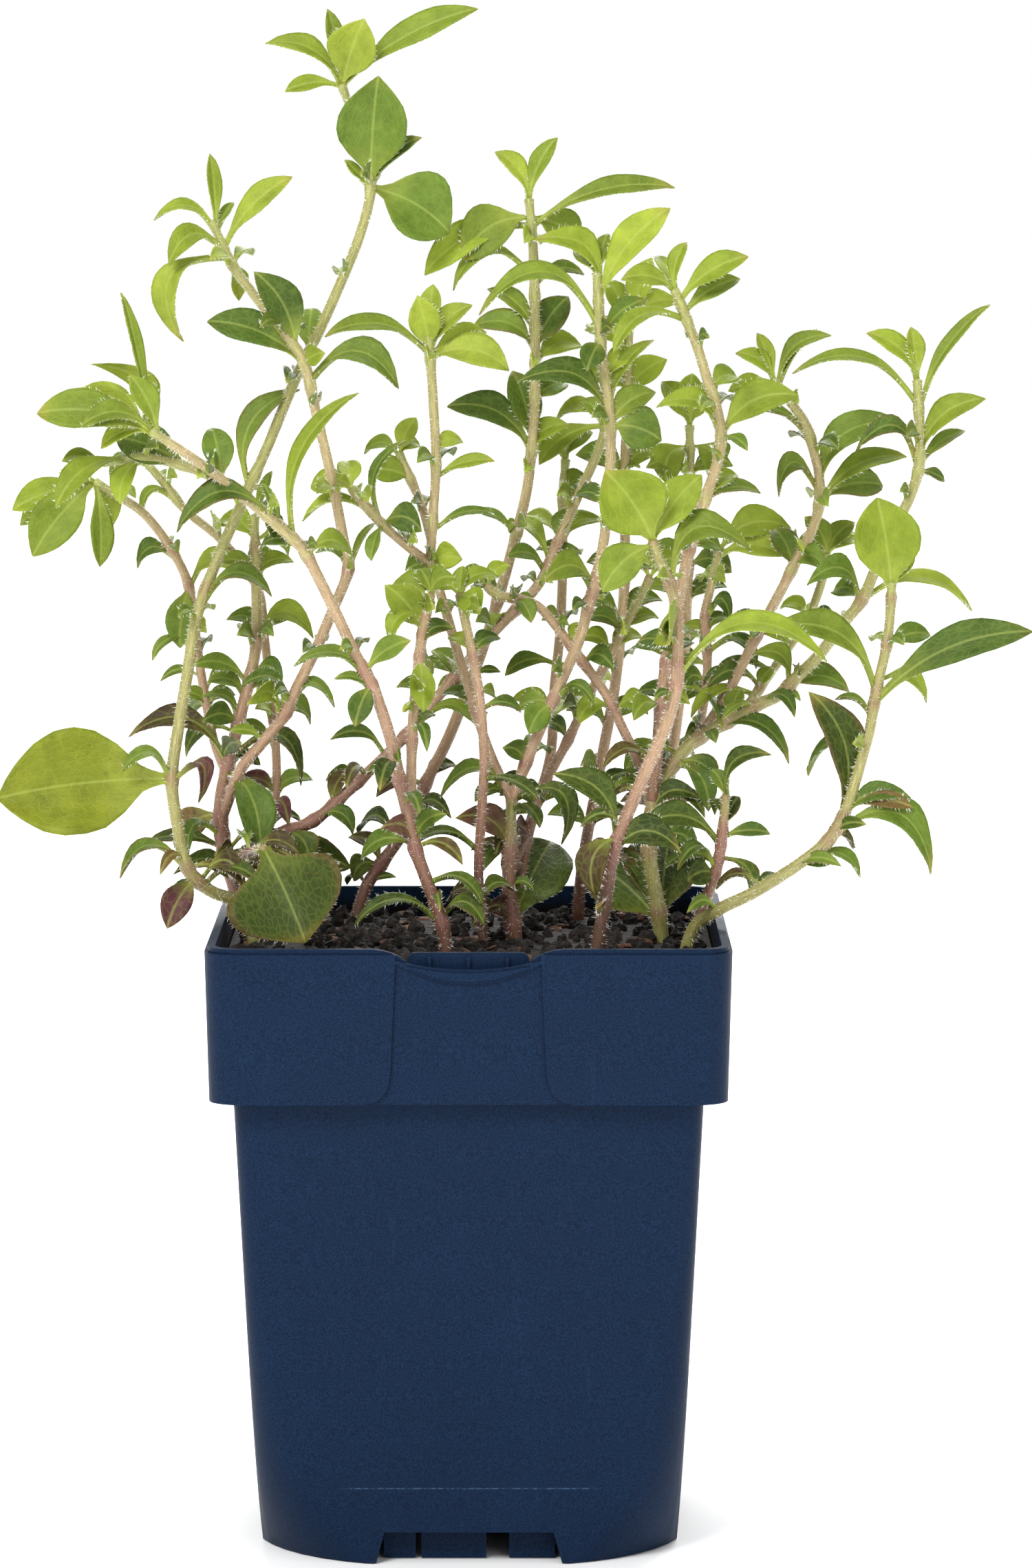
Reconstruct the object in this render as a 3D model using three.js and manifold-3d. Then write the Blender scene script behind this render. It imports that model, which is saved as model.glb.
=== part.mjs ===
// Potted soapwort: a square nursery pot filled with soil, and the leafy stems that stand in it.
// Millimetres, +Z up. The origin is the centre of the pot's base, and -Y is the front.
import * as THREE from 'three';
import { mergeVertices } from 'three/addons/utils/BufferGeometryUtils.js';
import Module from 'manifold-3d';

const wasm = await Module();
wasm.setup();

// Pot
const POT_HEIGHT = 109.3;
const COLLAR_FOOT = 82.2;
const COLLAR_HALF = 45;
const COLLAR_FOOT_HALF = 44.3;
const BODY_TOP_HALF = 40.8;
const BASE_HALF = 36.8;
const CORNER_RADIUS = 5.3;
const BODY_CORNER_RADIUS = 3.6;
const BASE_CORNER_GROWTH = 15.5;
const CORNER_GROWTH_HEIGHT = 17;
const CORNER_FLATNESS = 0.42;
const POT_CORNER_STEPS = 7;
const SOIL_CORNER_STEPS = 5;
const WALL = 1.3;
const FLOOR_UNDERSIDE = 6.2;
const FLOOR_TOP = 7.8;
const CENTRE_FOOT_RADIUS = 7;
const PANEL_PROUD = 0.6;
const PANEL_TOP = 108.4;
const WINDOW_HALF_TOP = 12.4;
const WINDOW_HALF_FOOT = 17.6;
const WINDOW_CORNER = 5;
const RIM_DIP_HALF = 16.5;
const RIM_DIP_FLAT = 10;
const RIM_DIP_DEPTH = 3.3;
const TAB_HALF = 10.5;
const TAB_TOP = 108.4;
const TAB_FOOT = 99;
const TAB_BACK = 2.4;
const TAB_CORNER = 1.6;
const LIP_HALF = 14;
const LIP_STEPS = 12;
const LIP_ROUND = 0.45;
const LIP_ROUND_HALF = 10.4;
const LIP_HEIGHT = 2.3;
const LIP_PROUD = 0.9;
const NOTCH_HALF_TOP = 14.8;
const NOTCH_HALF_FOOT = 16.5;
const NOTCH_HEIGHT = 5.5;

// Soil
const SOIL_TOP = 104.6;
const SOIL_BUMP = 1.5;
const GAP = 0.3;
const HOLE_CLEARANCE = 0.45;
const PLANTED_BELOW = SOIL_TOP + 1;

// Where the stems are looked at from: their points are read in the plane through the pot's axis as they
// look from the front, and each is then moved along the line of sight to its own depth.
const EYE = new THREE.Vector3(8.2, -1100, 250);

// Leaves and stems
const STEM_SIDES = 5;
const LEAF_THICKNESS = 1.3;
const LEAF_ROOT_HALF = 0.45;
const LEAF_ROOT_THICKNESS = 0.75;
const LONG_LEAF = 17;
const LONG_STATIONS = [[0.3, 0.6], [0.62, 1], [0.85, 0.7]];
const SHORT_STATIONS = [[0.42, 0.86], [0.74, 0.9]];
const CLEAR_OF_LEAF = 2.3;
const CLEAR_OF_STEM = 2.7;
const DEPTH_TRIALS = [0, 4, -4, 8, -8, 12, -12, 16, -16];

const POT_BLUE = new THREE.MeshStandardMaterial({ color: 0x1f3f6b, roughness: 0.5, metalness: 0 });
const SOIL_BROWN = new THREE.MeshStandardMaterial({ color: 0x3a2a20, roughness: 0.95, metalness: 0 });
const LEAF_GREEN = new THREE.MeshStandardMaterial({ color: 0x7d9b3c, roughness: 0.6, metalness: 0 });

// A branch is its path, its radius at foot and tip, and its leaves.
// Path points are [across, height, depth]. A leaf is [place on the path, across, up, back, width, bow, roll]:
// its tip counted from its root, its greatest width, how far its middle rises off the straight line, and
// how many degrees the blade is rolled about it, from 0 with its edge to the front to 90 with its face.
const PLANT = [
  { name: 'leafy_stem_left_outer', branches: [
    { radii: [1.12, 0.78],
      path: [[-38, 101, -6], [-39, 106, -7], [-41.2, 111.6, -8], [-46.5, 113.9, -11], [-50.5, 118, -13],
        [-52.3, 126, -13], [-53.2, 134, -12], [-52, 143, -9], [-50.3, 153, -6], [-48.6, 163, -3],
        [-45, 173, 0], [-40.6, 183, 3], [-36, 193, 4], [-31, 205, 4], [-27, 213, 3], [-22.5, 223, 2],
        [-19.3, 231, 1], [-17.5, 239, 0], [-19, 247, 2], [-22.5, 257, 3]],
      leaves: [[6, -30.5, -3, -4, 19, 1, 78], [6, -8.5, 2, -5, 3.6, 4, 25], [6, 5, -4, -3, 4, 6, 30],
        [4, -12, -1.5, -2, 4, 5, 25], [3.6, -5, -8.5, -5, 5.5, 1, 80],
        [9.3, 12.5, 1, -3, 4.4, 4.5, 35], [11.3, 9, 17.5, 2, 5, 5, 60], [13.6, 0.5, 8, 6, 5, 1, 80],
        [17, 1.5, 19.5, -4, 12.5, 1, 88], [17, 14, -8, 2, 12.5, 1.5, 80], [17, 9, 9, -2, 3.8, 1.5, 50],
        [19, 24, 13.5, -2, 5.4, 2, 60], [19, -13.5, 7.5, 1, 4.4, 3, 50],
        [19, -2.5, 13.5, 2, 3.4, 0.5, 65], [19, 4, 11.5, -5, 9, 0.5, 86], [19, -10, -1, -2, 3.2, 1, 60]] }] },
  { name: 'leafy_stem_left_cluster', branches: [
    { radii: [1.35, 0.85],
      path: [[-38.5, 101, 6], [-40.5, 108, 5], [-41.7, 113, 5], [-43, 118, 5], [-44.3, 124, 5], [-44.5, 130, 5],
        [-43.2, 136.5, 6], [-41.3, 144, 7], [-39.2, 152, 8], [-38, 159, 9], [-38, 170, 10], [-38.3, 181, 10]],
      leaves: [[9, 10.5, 0.5, -4, 5, 5, 45], [7, -6, 1, -6, 4.4, 1.5, 65], [6, -18, 5, 2, 4.8, 6, 55],
        [6.2, 13, -5, -2, 4.2, 7, 40], [5.8, 6.5, -13, -10, 7, 4, 70], [4, -6, -4, -6, 3.4, 5, 30],
        [3.6, -14, 1, 2, 3.6, 1.5, 40], [10.6, -7, 3, 6, 5, 2, 60], [10.6, 6, -3, 4, 4.5, 2.5, 50],
        [4.6, -9, -7, 8, 6, 2, 75], [8, 6, -1, -5, 4, 3, 45], [3, 13, 2, -8, 6, 3, 65],
        [3.4, 22, -4, 14, 7, 2, 75]] },
    { radii: [0.98, 0.78],
      path: [[-44.3, 127, 5], [-41, 135.5, 1], [-37, 140.5, -2], [-32.8, 145.8, -4], [-31, 150, -5],
        [-27.5, 157, -6], [-24.5, 164, -6], [-21.6, 171.5, -6], [-22.5, 177, -6], [-24, 185, -6],
        [-25.5, 192, -6], [-27.4, 200, -6], [-29.3, 208, -6], [-33, 213.5, -6], [-38, 220, -5],
        [-42, 225.5, -4], [-45.5, 233, -3]],
      leaves: [[3.2, -8.5, 4, -3, 3.6, 4, 35], [12.4, -7, 14, -4, 7, 2, 72],
        [12, -17, 7.5, -1, 6.6, 2, 65], [11.6, 16, -1, -3, 6.6, 6, 48],
        [15.8, -1, 13.5, 1, 3, 0.3, 60], [15.8, -11, 2, -1, 3.2, 3.4, 40],
        [15.4, 12, 12.5, 0, 4.8, 1.5, 60], [15.2, -8, -15, -3, 6, 7.5, 55],
        [15.4, -9.5, -3, -6, 4.8, 4, 55], [15, 1, -6.5, 6, 3.6, 2, 60]] },
    { radii: [0.78, 0.75],
      path: [[-42.7, 117, 6], [-38, 120, 12], [-36.2, 124, 15], [-34.7, 131, 17], [-34.6, 139, 18],
        [-35.6, 150, 19], [-36.6, 160, 20], [-37.5, 167.5, 20], [-41, 173, 19], [-45, 177.5, 18],
        [-50.5, 182, 17], [-54, 186.5, 16], [-57, 190, 15]],
      leaves: [[12, -7, -3, 0, 4.6, 2, 60], [12, -6, 6, 2, 4.2, 1.5, 55], [4.6, 7, -2, 2, 4.4, 3, 50]] },
    { radii: [0.78, 0.78],
      path: [[-43.6, 135, 6], [-45.7, 141, 9], [-47.6, 151, 12], [-48.8, 160, 14], [-50, 168.5, 15],
        [-53, 175, 14], [-57.5, 181, 12], [-62, 184.3, 10], [-66.5, 187, 8]],
      leaves: [[4, -1.5, -11, -3, 5.6, 1, 85], [4, 10.5, 2, -1, 4.8, 4, 50],
        [4.8, -7, -2, 0, 4, 2.8, 45], [8, -15, -5, 1, 5.6, 1, 62], [8, -11, -13, -4, 8.6, 1, 80],
        [8, 1, -15, -3, 4.6, 2, 62], [8, -14, -8, 5, 5, 1, 65], [8, 3, -8, 4, 4, 1.5, 60]] },
    { radii: [1.05, 0.78],
      path: [[-43, 119, 5], [-36, 123.5, 8], [-28, 126.5, 10], [-20, 133.5, 12], [-11.5, 141.8, 14],
        [-3, 152, 15], [4, 160, 16], [12, 168.5, 17], [15.5, 176, 18], [19, 184, 18], [23, 193, 17],
        [24, 197, 16]],
      leaves: [[11, -12, -7, -3, 4.8, 2, 60], [11, -9, 1, 3, 4, 3, 45], [4.2, 12, -1, -2, 3.2, 4, 35],
        [7.6, -7.5, 6, -1, 4.4, 3, 50], [8, 3.5, 6, 3, 3.8, 1.5, 55], [1.4, 4, -6, -3, 5, 2, 70]] },
    { radii: [0.92, 0.78],
      path: [[-42.4, 116, 5], [-40.6, 120.3, -6], [-36.8, 121.4, -19]],
      leaves: [[2, 7.5, -15.5, -8, 21.5, 0.5, 88]] }] },
  { name: 'leafy_stem_front_left', branches: [
    { radii: [1.12, 0.78],
      path: [[-4, 101, -20], [-5, 108, -20], [-7.5, 115, -20], [-9.8, 121.5, -20], [-11, 127, -20],
        [-12.5, 133.5, -20], [-14, 140.5, -20], [-16, 147, -20], [-17.6, 151, -20], [-20.5, 156.5, -20],
        [-24, 164, -20], [-29, 174, -20], [-31.5, 177, -20], [-36, 181, -19], [-41, 185, -18],
        [-46, 188, -17], [-51, 190, -16], [-58, 191.3, -14], [-65, 190.5, -12]],
      leaves: [[17.5, -5, 17, -4, 5.6, 9, 50], [17.4, -12, -8, -8, 5, 3, 60],
        [17, -4, -8, -2, 4.4, 1.5, 65], [15.8, -13, 5, 6, 7.5, 1, 76],
        [12.6, -17.5, -1, -3, 5.2, 6.5, 50], [12, 11.5, 25.5, -2, 3.8, 5, 50],
        [14.6, -2, 9.5, 5, 5.6, 1, 78], [8, -13.5, 3.5, -2, 3.6, 3.8, 30],
        [8, -2.8, -7, -4, 4.4, 0.6, 85], [8.4, 8, 6, -6, 4.2, 1, 60], [11, 8, -1, 4, 4.4, 3, 50],
        [11.2, -8, 0.5, 5, 4, 2, 50], [3, 5.5, 6.5, -3, 3.6, 2, 55], [3, -6, 4, -3, 4.2, 2.5, 60],
        [1, -15.5, 0, -3, 3.4, 4.5, 30], [1.2, 8, -1.5, -4, 4.4, 3.5, 45], [1, -12, -4, 6, 3.4, 3.5, 40]] },
    { radii: [0.92, 0.78],
      path: [[-9.8, 121.5, -20], [-10.3, 128, -17], [-10.5, 135, -15], [-10, 147, -13], [-9, 156, -12],
        [-8, 163, -12], [-7, 167, -12]],
      leaves: [[4.6, -6.5, 8.5, -2, 6, 1, 82], [5, -6, -4.5, -3, 3.8, 3, 50],
        [5.6, -7, 2.5, 2, 5, 2, 55], [4, 0.8, -9.5, -4, 4.6, 0.5, 84]] },
    { radii: [0.85, 0.78],
      path: [[-41, 185, -18], [-46, 189, -22], [-51, 192.5, -24], [-56.5, 196, -25]],
      leaves: [[3, -5, 24, 1, 2.8, 0.5, 40], [2.8, -4.5, 10.5, -3, 4.8, 1, 65],
        [3, -14, 6, 6, 8, 1, 78], [3, -20, 3, 3, 7.6, 2, 72], [3, -12, 1, -3, 4.6, 3, 50],
        [3, -9, -3, 2, 4, 1.5, 55]] }] },
  { name: 'leafy_stem_back_left', branches: [
    { radii: [1.12, 0.78],
      path: [[-22, 102.5, 22], [-19, 113.5, 23], [-16, 118.5, 24], [-12.5, 123.5, 25], [-9.3, 129, 25],
        [-8, 133, 25], [-4, 141, 25], [-1, 148.5, 25], [2, 156.5, 24], [5, 166, 22], [6.7, 172, 20],
        [8.3, 178, 18], [9.8, 184, 15], [10.6, 189, 13], [11.3, 197, 11], [11.6, 208, 9], [11.5, 220, 8],
        [11.2, 229, 7], [10.5, 237, 7]],
      leaves: [[18, -6, 8.5, 1, 4.2, 1.5, 60], [18, 5, 11, 1, 3.8, 1, 65],
        [17.6, -12, -7.5, -6, 8.8, 2.5, 78], [17.4, -19, -8.5, -2, 6.4, 3, 68],
        [17.4, 25.5, 7, 0, 4.2, 3, 50], [17.6, 9.5, -4.5, 4, 6.4, 1, 75],
        [16.4, -14.5, -2.5, -3, 3.8, 6, 50], [16.2, 9, 2, 2, 3.2, 2, 50],
        [15.2, -11.5, 4, 1, 5.2, 3, 55], [15.4, -8.5, 8.5, 4, 4, 2, 60], [15.2, 6, 9.5, 3, 6.2, 1, 78],
        [15, 8.5, 3, 5, 5, 2, 60], [13.4, -15, 8.5, -2, 6.4, 3.5, 62], [13.6, -3.5, 13, 4, 6, 1, 76],
        [13.4, 7, 5, 3, 4.2, 2, 55], [5, -9, -2, -2, 3.6, 2, 45], [2, -6, 5, 2, 3.6, 2, 55],
        [2, -5, -3, -4, 4.4, 2, 70], [14.4, 6, 3, 5, 4.6, 1, 60]] }] },
  { name: 'leafy_stem_pale_middle', branches: [
    { radii: [0.85, 0.78],
      path: [[2.5, 101.5, -8], [2, 110, -8], [1.5, 118, -8], [2.2, 130, -8], [2.5, 138, -8], [1.8, 148, -8],
        [0.5, 156, -8], [-1, 163, -8], [-1.8, 167, -8]],
      leaves: [[8, -8, 1, -2, 5, 2, 60], [8, 3.5, -3, -5, 5.2, 1, 78]] }] },
  { name: 'leafy_stem_middle_fork', branches: [
    { radii: [1.35, 1.05],
      path: [[8.5, 101.5, 0], [7.6, 108, 0], [7, 113, 0], [7, 121, 0], [7.5, 130.5, 0]],
      leaves: [[4, -13, 0.5, -3, 4, 5.5, 35], [4, -10, 4, 4, 3.4, 3, 40], [4, 9, -8, -3, 5, 7, 50],
        [3, -9.5, 6.5, -4, 5.6, 3, 62], [1.4, 7.5, -5, -5, 3.8, 9, 40],
        [1.4, -7, -2, -5, 3.6, 2.5, 45], [1, 7, 13, 16, 13, 1, 82], [1, -5, 3, -8, 4, 2, 60]] },
    { radii: [0.85, 0.78],
      path: [[7.5, 130, 0], [4, 137.5, 0], [2, 143, 1], [0, 149.5, 1], [-2, 156, 1], [-4, 163, 1],
        [-5.5, 168, 1], [-6.9, 172.5, 0], [-6.6, 180, 0], [-6, 190, 0], [-6.4, 200, 0], [-7, 209, 0],
        [-7.5, 214, 0]],
      leaves: [[11.2, -2, 10, -4, 5.8, 0.5, 86], [11.6, 0.8, 10, 2, 4.2, 0.3, 75],
        [11.2, 7.5, 8.5, -1, 4.4, 1.5, 55], [11, 14, -2, -3, 6.6, 2.6, 62],
        [11.2, -18.5, 3, 1, 4.2, 3.6, 40], [11, 10, 4.5, 4, 4.4, 1.5, 55],
        [7, -4.5, -1, -6, 4.8, 0.5, 84], [7, 5.5, 1, -3, 5, 1, 75], [8.8, 10.5, 3, -2, 3, 1, 45]] },
    { radii: [0.78, 0.75],
      path: [[-6.9, 172.5, 0], [-11, 175.5, -2], [-15.5, 179.5, -3], [-19.5, 184, -4], [-21, 186, -4]],
      leaves: [[4, -7.5, 0, 1, 5, 1, 65], [2.4, -13, -1.5, -2, 3.2, 3.4, 35],
        [2, 7, -1, -3, 5.4, 2, 75], [2.2, 5, 14, 2, 2.6, 3.5, 45]] },
    { radii: [0.78, 0.75],
      path: [[-6.7, 176, 0], [-8.3, 182, 4], [-10.5, 187.5, 7], [-12.5, 192, 9]],
      leaves: [[2, -7.5, 1.5, -2, 5.2, 1, 68], [3, 3, 6.5, 1, 4, 0.5, 70]] },
    { radii: [0.98, 0.78],
      path: [[7.5, 130, 0], [10, 137, 0], [13.2, 144.5, 0], [16.5, 152, 0], [19.5, 159, 0], [21, 164.5, 0],
        [22.5, 170, 0], [24, 178, 0], [24.8, 188, 0], [25, 197, 0], [24, 205, 0], [23.2, 212, 0],
        [22.8, 219, 0], [22.5, 224, 0]],
      leaves: [[12, 12.5, 16.5, -2, 6.6, 2, 66], [12, -11.5, 11, -2, 5.6, 5.5, 55],
        [11.4, -21.5, 2, -2, 4.8, 8.5, 45], [13, 2, 7, 4, 3.8, 0.5, 60], [11, 8, 7.5, -4, 4, 1.5, 60],
        [11, -2.5, -5, -5, 4.6, 0.5, 80], [9, -16.5, 8, -4, 5.8, 5.5, 50], [9, 9, -2.5, -2, 8, 1, 78],
        [9, 8, 6, 1, 5.2, 1.5, 62], [9.4, 8, 12, 3, 3.2, 2, 50], [5.8, -9, 1, -5, 5.6, 3, 60],
        [5.2, 11.5, 6, 2, 3, 2.5, 40], [2.4, -4, -5, -4, 5, 1, 84], [7.4, 5, 3, 4, 4, 2, 55],
        [7.4, -6, 2, 4, 4, 2, 55], [10, 6, 5, 5, 4.4, 1.5, 60]] },
    { radii: [0.85, 0.78],
      path: [[8.2, 106, 1], [9.5, 119, 8], [12.5, 131, 11], [17.5, 141, 12], [22, 150.5, 12], [27, 160, 11],
        [32, 170, 9]],
      leaves: [[4.6, 6, 3, 3, 4, 2, 55], [6, -6, 4, 3, 4.4, 1.5, 60], [6, 6, 3, 4, 4.4, 1.5, 60]] },
    { radii: [0.92, 0.78],
      path: [[7.2, 117, 0], [11, 127, 12], [14.3, 138, 19], [15, 150, 23], [16, 160, 25], [16.5, 172, 26],
        [16.5, 184, 26], [17, 191, 26]],
      leaves: [[7, -3, 7, -2, 5, 0.5, 75], [7, 5, 5, 1, 4.4, 1.5, 60], [7, -6, 1, 2, 4.4, 2, 55],
        [6, 5.5, 3, -3, 4.6, 2, 60]] }] },
  { name: 'leafy_stem_front_right', branches: [
    { radii: [1.2, 0.85],
      path: [[22.5, 101.5, -26], [23.5, 108, -26], [24.6, 115, -26], [25.2, 120, -26], [27, 125, -26],
        [29.5, 131, -26], [32.5, 138, -26], [35.3, 144.5, -26], [36.8, 151, -26], [37, 158, -26],
        [36.8, 164, -25], [35.5, 169, -24], [33.5, 173.5, -24], [32.5, 176.5, -24]],
      leaves: [[12.8, -8.5, 13, -4, 12.6, 1, 86], [13, 8.5, 11.5, 1, 7.2, 1, 78],
        [12.8, -9, -8, -3, 7.2, 1.5, 76], [11, 14.5, 5.5, -2, 6.6, 7.5, 52],
        [10.2, -1.5, -6, -9, 9, 1, 10], [8.2, 26, 3, -4, 5.4, 8, 42], [3.5, -11, 12.5, -3, 5.8, 4, 58],
        [3.1, 12, 0.5, -2, 6, 4, 60], [3.7, -4, -10, -4, 5.8, 4, 74], [8.6, -7, 3, 3, 4.2, 2, 55]] }] },
  { name: 'leafy_stem_right_cluster', branches: [
    { radii: [1.35, 1.12],
      path: [[34.5, 101.5, 2], [33.7, 110, 2], [32.3, 118, 2], [31.8, 124, 2], [32.5, 130, 2]],
      leaves: [[0.8, 2, 13.5, 14, 15, 1, 82], [0.8, -12, 10, 8, 12, 1, 80], [2.6, 9, -3, 3, 5, 4, 50],
        [2.6, -7, -1, 3, 4.4, 4, 50], [4, -8, 1, 3, 4.6, 3, 50], [3.6, 9, 3, -2, 4.2, 3, 50]] },
    { radii: [1.05, 0.78],
      path: [[32.4, 129.5, 2], [33.3, 138, 1], [34, 147, 0], [35, 155, -2], [36.8, 164, -4], [39, 175, -5],
        [41.8, 184, -5], [43.8, 190, -5], [44.6, 195, -5], [43.8, 200, -5], [42, 205.5, -5], [40.3, 211, -5],
        [38.3, 216, -5], [36.3, 221, -5]],
      leaves: [[13, 2, 8.5, 1, 3.4, 1, 55], [13, -9.5, 2, -2, 4.4, 1.5, 55],
        [12.6, 12, 8, -2, 5.2, 1.5, 60], [12.2, 10, 6, 3, 4.4, 1, 60], [12, -13, -6, -2, 4.2, 4, 45],
        [8, 13.5, 7.5, -3, 6.8, 3, 62], [8, -11.5, 5.5, -2, 4.6, 4, 48], [6, 10, 1, 3, 3.4, 1.5, 45],
        [6, 6, 4, 5, 4.2, 1.5, 60], [5.6, -6, 3, 2, 4, 2, 55], [5, 6, -1, 4, 4, 2, 55],
        [9.6, 5, 2, 5, 4.4, 1.5, 60]] },
    { radii: [0.85, 0.78],
      path: [[32.4, 129.5, 2], [30, 137, 4], [27, 143.5, 5], [24, 149.5, 6], [20, 155, 6.5], [16, 160.5, 7],
        [12, 165, 7], [8, 166.3, 6], [5, 166.8, 5], [3, 168.5, 5]],
      leaves: [] },
    { radii: [1.2, 0.78],
      path: [[32.4, 129, 2], [35, 134.5, 4], [37.5, 138.3, 5], [41, 141.5, 6], [46, 144.3, 6], [50.5, 147, 6],
        [55, 149, 6], [58.5, 152.5, 5], [62, 156, 4], [66, 161.3, 3], [69.7, 166, 2], [72.3, 172, 1],
        [75, 178, 0], [78, 184, 0], [79.6, 189, 0], [79.9, 194, 0], [79.6, 200, 0], [79.3, 205, 0]],
      leaves: [[16.2, -22.5, 5.5, -2, 3, 5.5, 40], [17, -9, 8.5, 0, 4.4, 2, 62],
        [17, -1, 9.5, 2, 3.8, 0.3, 65], [16, 12.5, 18.5, 1, 3.2, 2, 45],
        [14.4, 11.5, 11, -2, 5.2, 3, 58], [14.2, 8.5, 6, 4, 3.2, 1, 50],
        [14.2, -11.5, 2.5, -2, 4, 6, 52], [10, 20, -2, 3, 4, 5, 40], [10, -10, 3, -3, 5, 4.5, 52],
        [10, -5, 1, 6, 4.4, 1.5, 60], [6.6, -7, 5.5, -2, 4.2, 3, 50], [6.4, 11.5, -1, 2, 5, 2.5, 55],
        [3.2, 15, -5, -3, 4.2, 5, 42], [1.6, 7, -5, -3, 4.4, 3, 55], [1.6, 6, -8, -6, 4.4, 3, 65]] },
    { radii: [0.92, 0.78],
      path: [[40.8, 141.3, 6], [44.5, 147, 10], [47.5, 152.5, 11], [51, 159.5, 11], [55.5, 168, 11],
        [58.5, 174, 11], [61, 179, 11], [62, 183, 11], [62, 188, 11], [61, 192.5, 10], [59.7, 197, 9],
        [57, 201, 8], [54, 205, 7]],
      leaves: [[12, -7, 5, -1, 3.8, 1.5, 58], [12, -3, 8.5, 1, 3.2, 0.3, 60],
        [11.8, 9.5, 9, 0, 3.8, 3, 45], [11.6, -9.5, 0, -3, 4, 1, 60],
        [7.2, 15.5, 13.5, -2, 6.8, 6, 58], [7, 16, 8.5, 4, 4.8, 3, 55],
        [7.6, -7.5, -1.5, -2, 4.4, 5.5, 52], [9.6, -13, 4.5, -2, 2.6, 2.5, 40],
        [7.2, 12, 2, 8, 6, 1.5, 72], [4.6, -3, 7, 4, 5, 1, 74], [4.6, 6, 0, -3, 4.4, 2.5, 55],
        [3, 6, -2, 3, 4.2, 2, 55]] },
    { radii: [0.78, 0.75],
      path: [[40.6, 141.2, 6], [41.4, 146, 14], [42.2, 151, 17], [42.2, 157, 18], [41.8, 163, 19],
        [43, 169, 20], [44.3, 175, 20]],
      leaves: [[6, 13, 4, -2, 6.4, 3, 62], [5.8, 12, 0.5, -5, 5, 2, 55], [3, 9, -3, -3, 3.6, 4, 40]] },
    { radii: [0.78, 0.75],
      path: [[48, 145.3, 6], [51.5, 150, 13], [56, 156.5, 18], [60, 162.5, 20], [62.5, 169, 20],
        [63.5, 174, 20]],
      leaves: [[5, -4, 7, 1, 4.6, 1, 65], [5, 5, 6, 1, 4.4, 1, 60], [5, 7, 2, 3, 4, 2, 55]] }] },
  { name: 'leafy_stem_right_outer', branches: [
    { radii: [1.12, 0.78],
      path: [[38, 101, -12], [40.2, 107.4, -13], [45, 110.8, -15], [50, 113.2, -16], [55, 116.2, -17],
        [60, 119.6, -18], [64, 123, -18], [66.5, 127, -18], [68.3, 132, -18], [70, 138, -17], [71.3, 143, -16],
        [72, 147.5, -15], [73, 152.5, -14], [74.2, 158, -13], [74.8, 164, -12], [75, 169, -12]],
      leaves: [[14.6, -2.5, 17, 1, 12, 0.5, 86], [14.8, 3.5, 8, 3, 5, 0.5, 74],
        [11, 27.5, 13, -3, 7.2, 3.5, 66], [11.4, -19, 11.5, -3, 6.2, 5.5, 52],
        [13, 8, 1.5, 4, 4.2, 1, 60], [6.6, -5, 24, -3, 8, 5, 64], [6.8, 12.5, 4.5, -1, 4, 3, 52],
        [6.2, 17.5, -6.5, -3, 6.6, 8, 52]] },
    { radii: [0.92, 0.78],
      path: [[39.4, 105, -12.5], [41.6, 111, -12], [43.8, 117, -11], [44.8, 122, -11], [45.3, 127, -11],
        [45.6, 131, -11]],
      leaves: [[5, 8, 7.5, -1, 3.8, 3.5, 52], [3, -15, 3, -2, 5.4, 4, 56],
        [2.6, 5.5, -8, 1, 3.4, 3, 50], [2, -5, -1, -3, 5, 1, 76]] }] },
  { name: 'leafy_stem_back_middle', branches: [
    { radii: [1.05, 0.78],
      path: [[19, 103.5, 31], [20, 118, 31], [23, 135, 31], [26, 152, 31], [27.5, 170, 31], [27.5, 188, 31],
        [28, 203, 30], [28.3, 215, 28]],
      leaves: [[7, 4, 12, 1, 5, 0.5, 70], [7, -4, 8, 2, 5, 0.5, 70], [7, 9, 4, 0, 4.6, 2, 60],
        [6.6, -8, 4, -2, 5.2, 2, 60], [6, 7, 6, -2, 5.4, 1, 72], [6, -8, 3, -1, 5.4, 2, 65],
        [5, 7, 5, 1, 5, 2, 60], [5, -9, 4, 1, 5.2, 2, 62], [4, 7, 3, 0, 4.8, 2, 60],
        [4, -7, 3, -1, 4.6, 2, 58]] }] },
  { name: 'leafy_stem_back_right', branches: [
    { radii: [1.05, 0.78],
      path: [[29.5, 103.5, 30], [33, 120, 31], [36, 138, 32], [38, 155, 32], [38.8, 172, 31], [39, 188, 30],
        [39, 197, 29]],
      leaves: [[6, -5, 8, -1, 5.2, 1, 70], [6, 5, 8, -1, 5.2, 1, 70], [5.6, -4, -7, 1, 6.4, 3, 74],
        [5.6, 4, -6, 1, 6.4, 3, 74], [6, 0.5, 9.5, 3, 5, 0.5, 72], [5, -8, 2, -1, 4.6, 2, 58],
        [5, 8, 2, 0, 4.6, 2, 58], [4, 8, -1, -1, 5.6, 2, 62], [4, -8, 2, 0, 4.6, 2, 60]] }] },
];

const UP = new THREE.Vector3(0, 0, 1);
const FRONT = new THREE.Vector3(0, -1, 0);

// Moves a point that is read in the plane through the pot's axis to its depth, along the line of sight.
function placed([across, height, depth]) {
  const seen = new THREE.Vector3(across, 0, height);
  return seen.sub(EYE).multiplyScalar((depth - EYE.y) / -EYE.y).add(EYE);
}

// The point of a path at a place counted in path points, with fractions in between.
function pointAt(path, place) {
  const first = Math.min(Math.floor(place), path.length - 2);
  return path[first].clone().lerp(path[first + 1], place - first);
}

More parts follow.
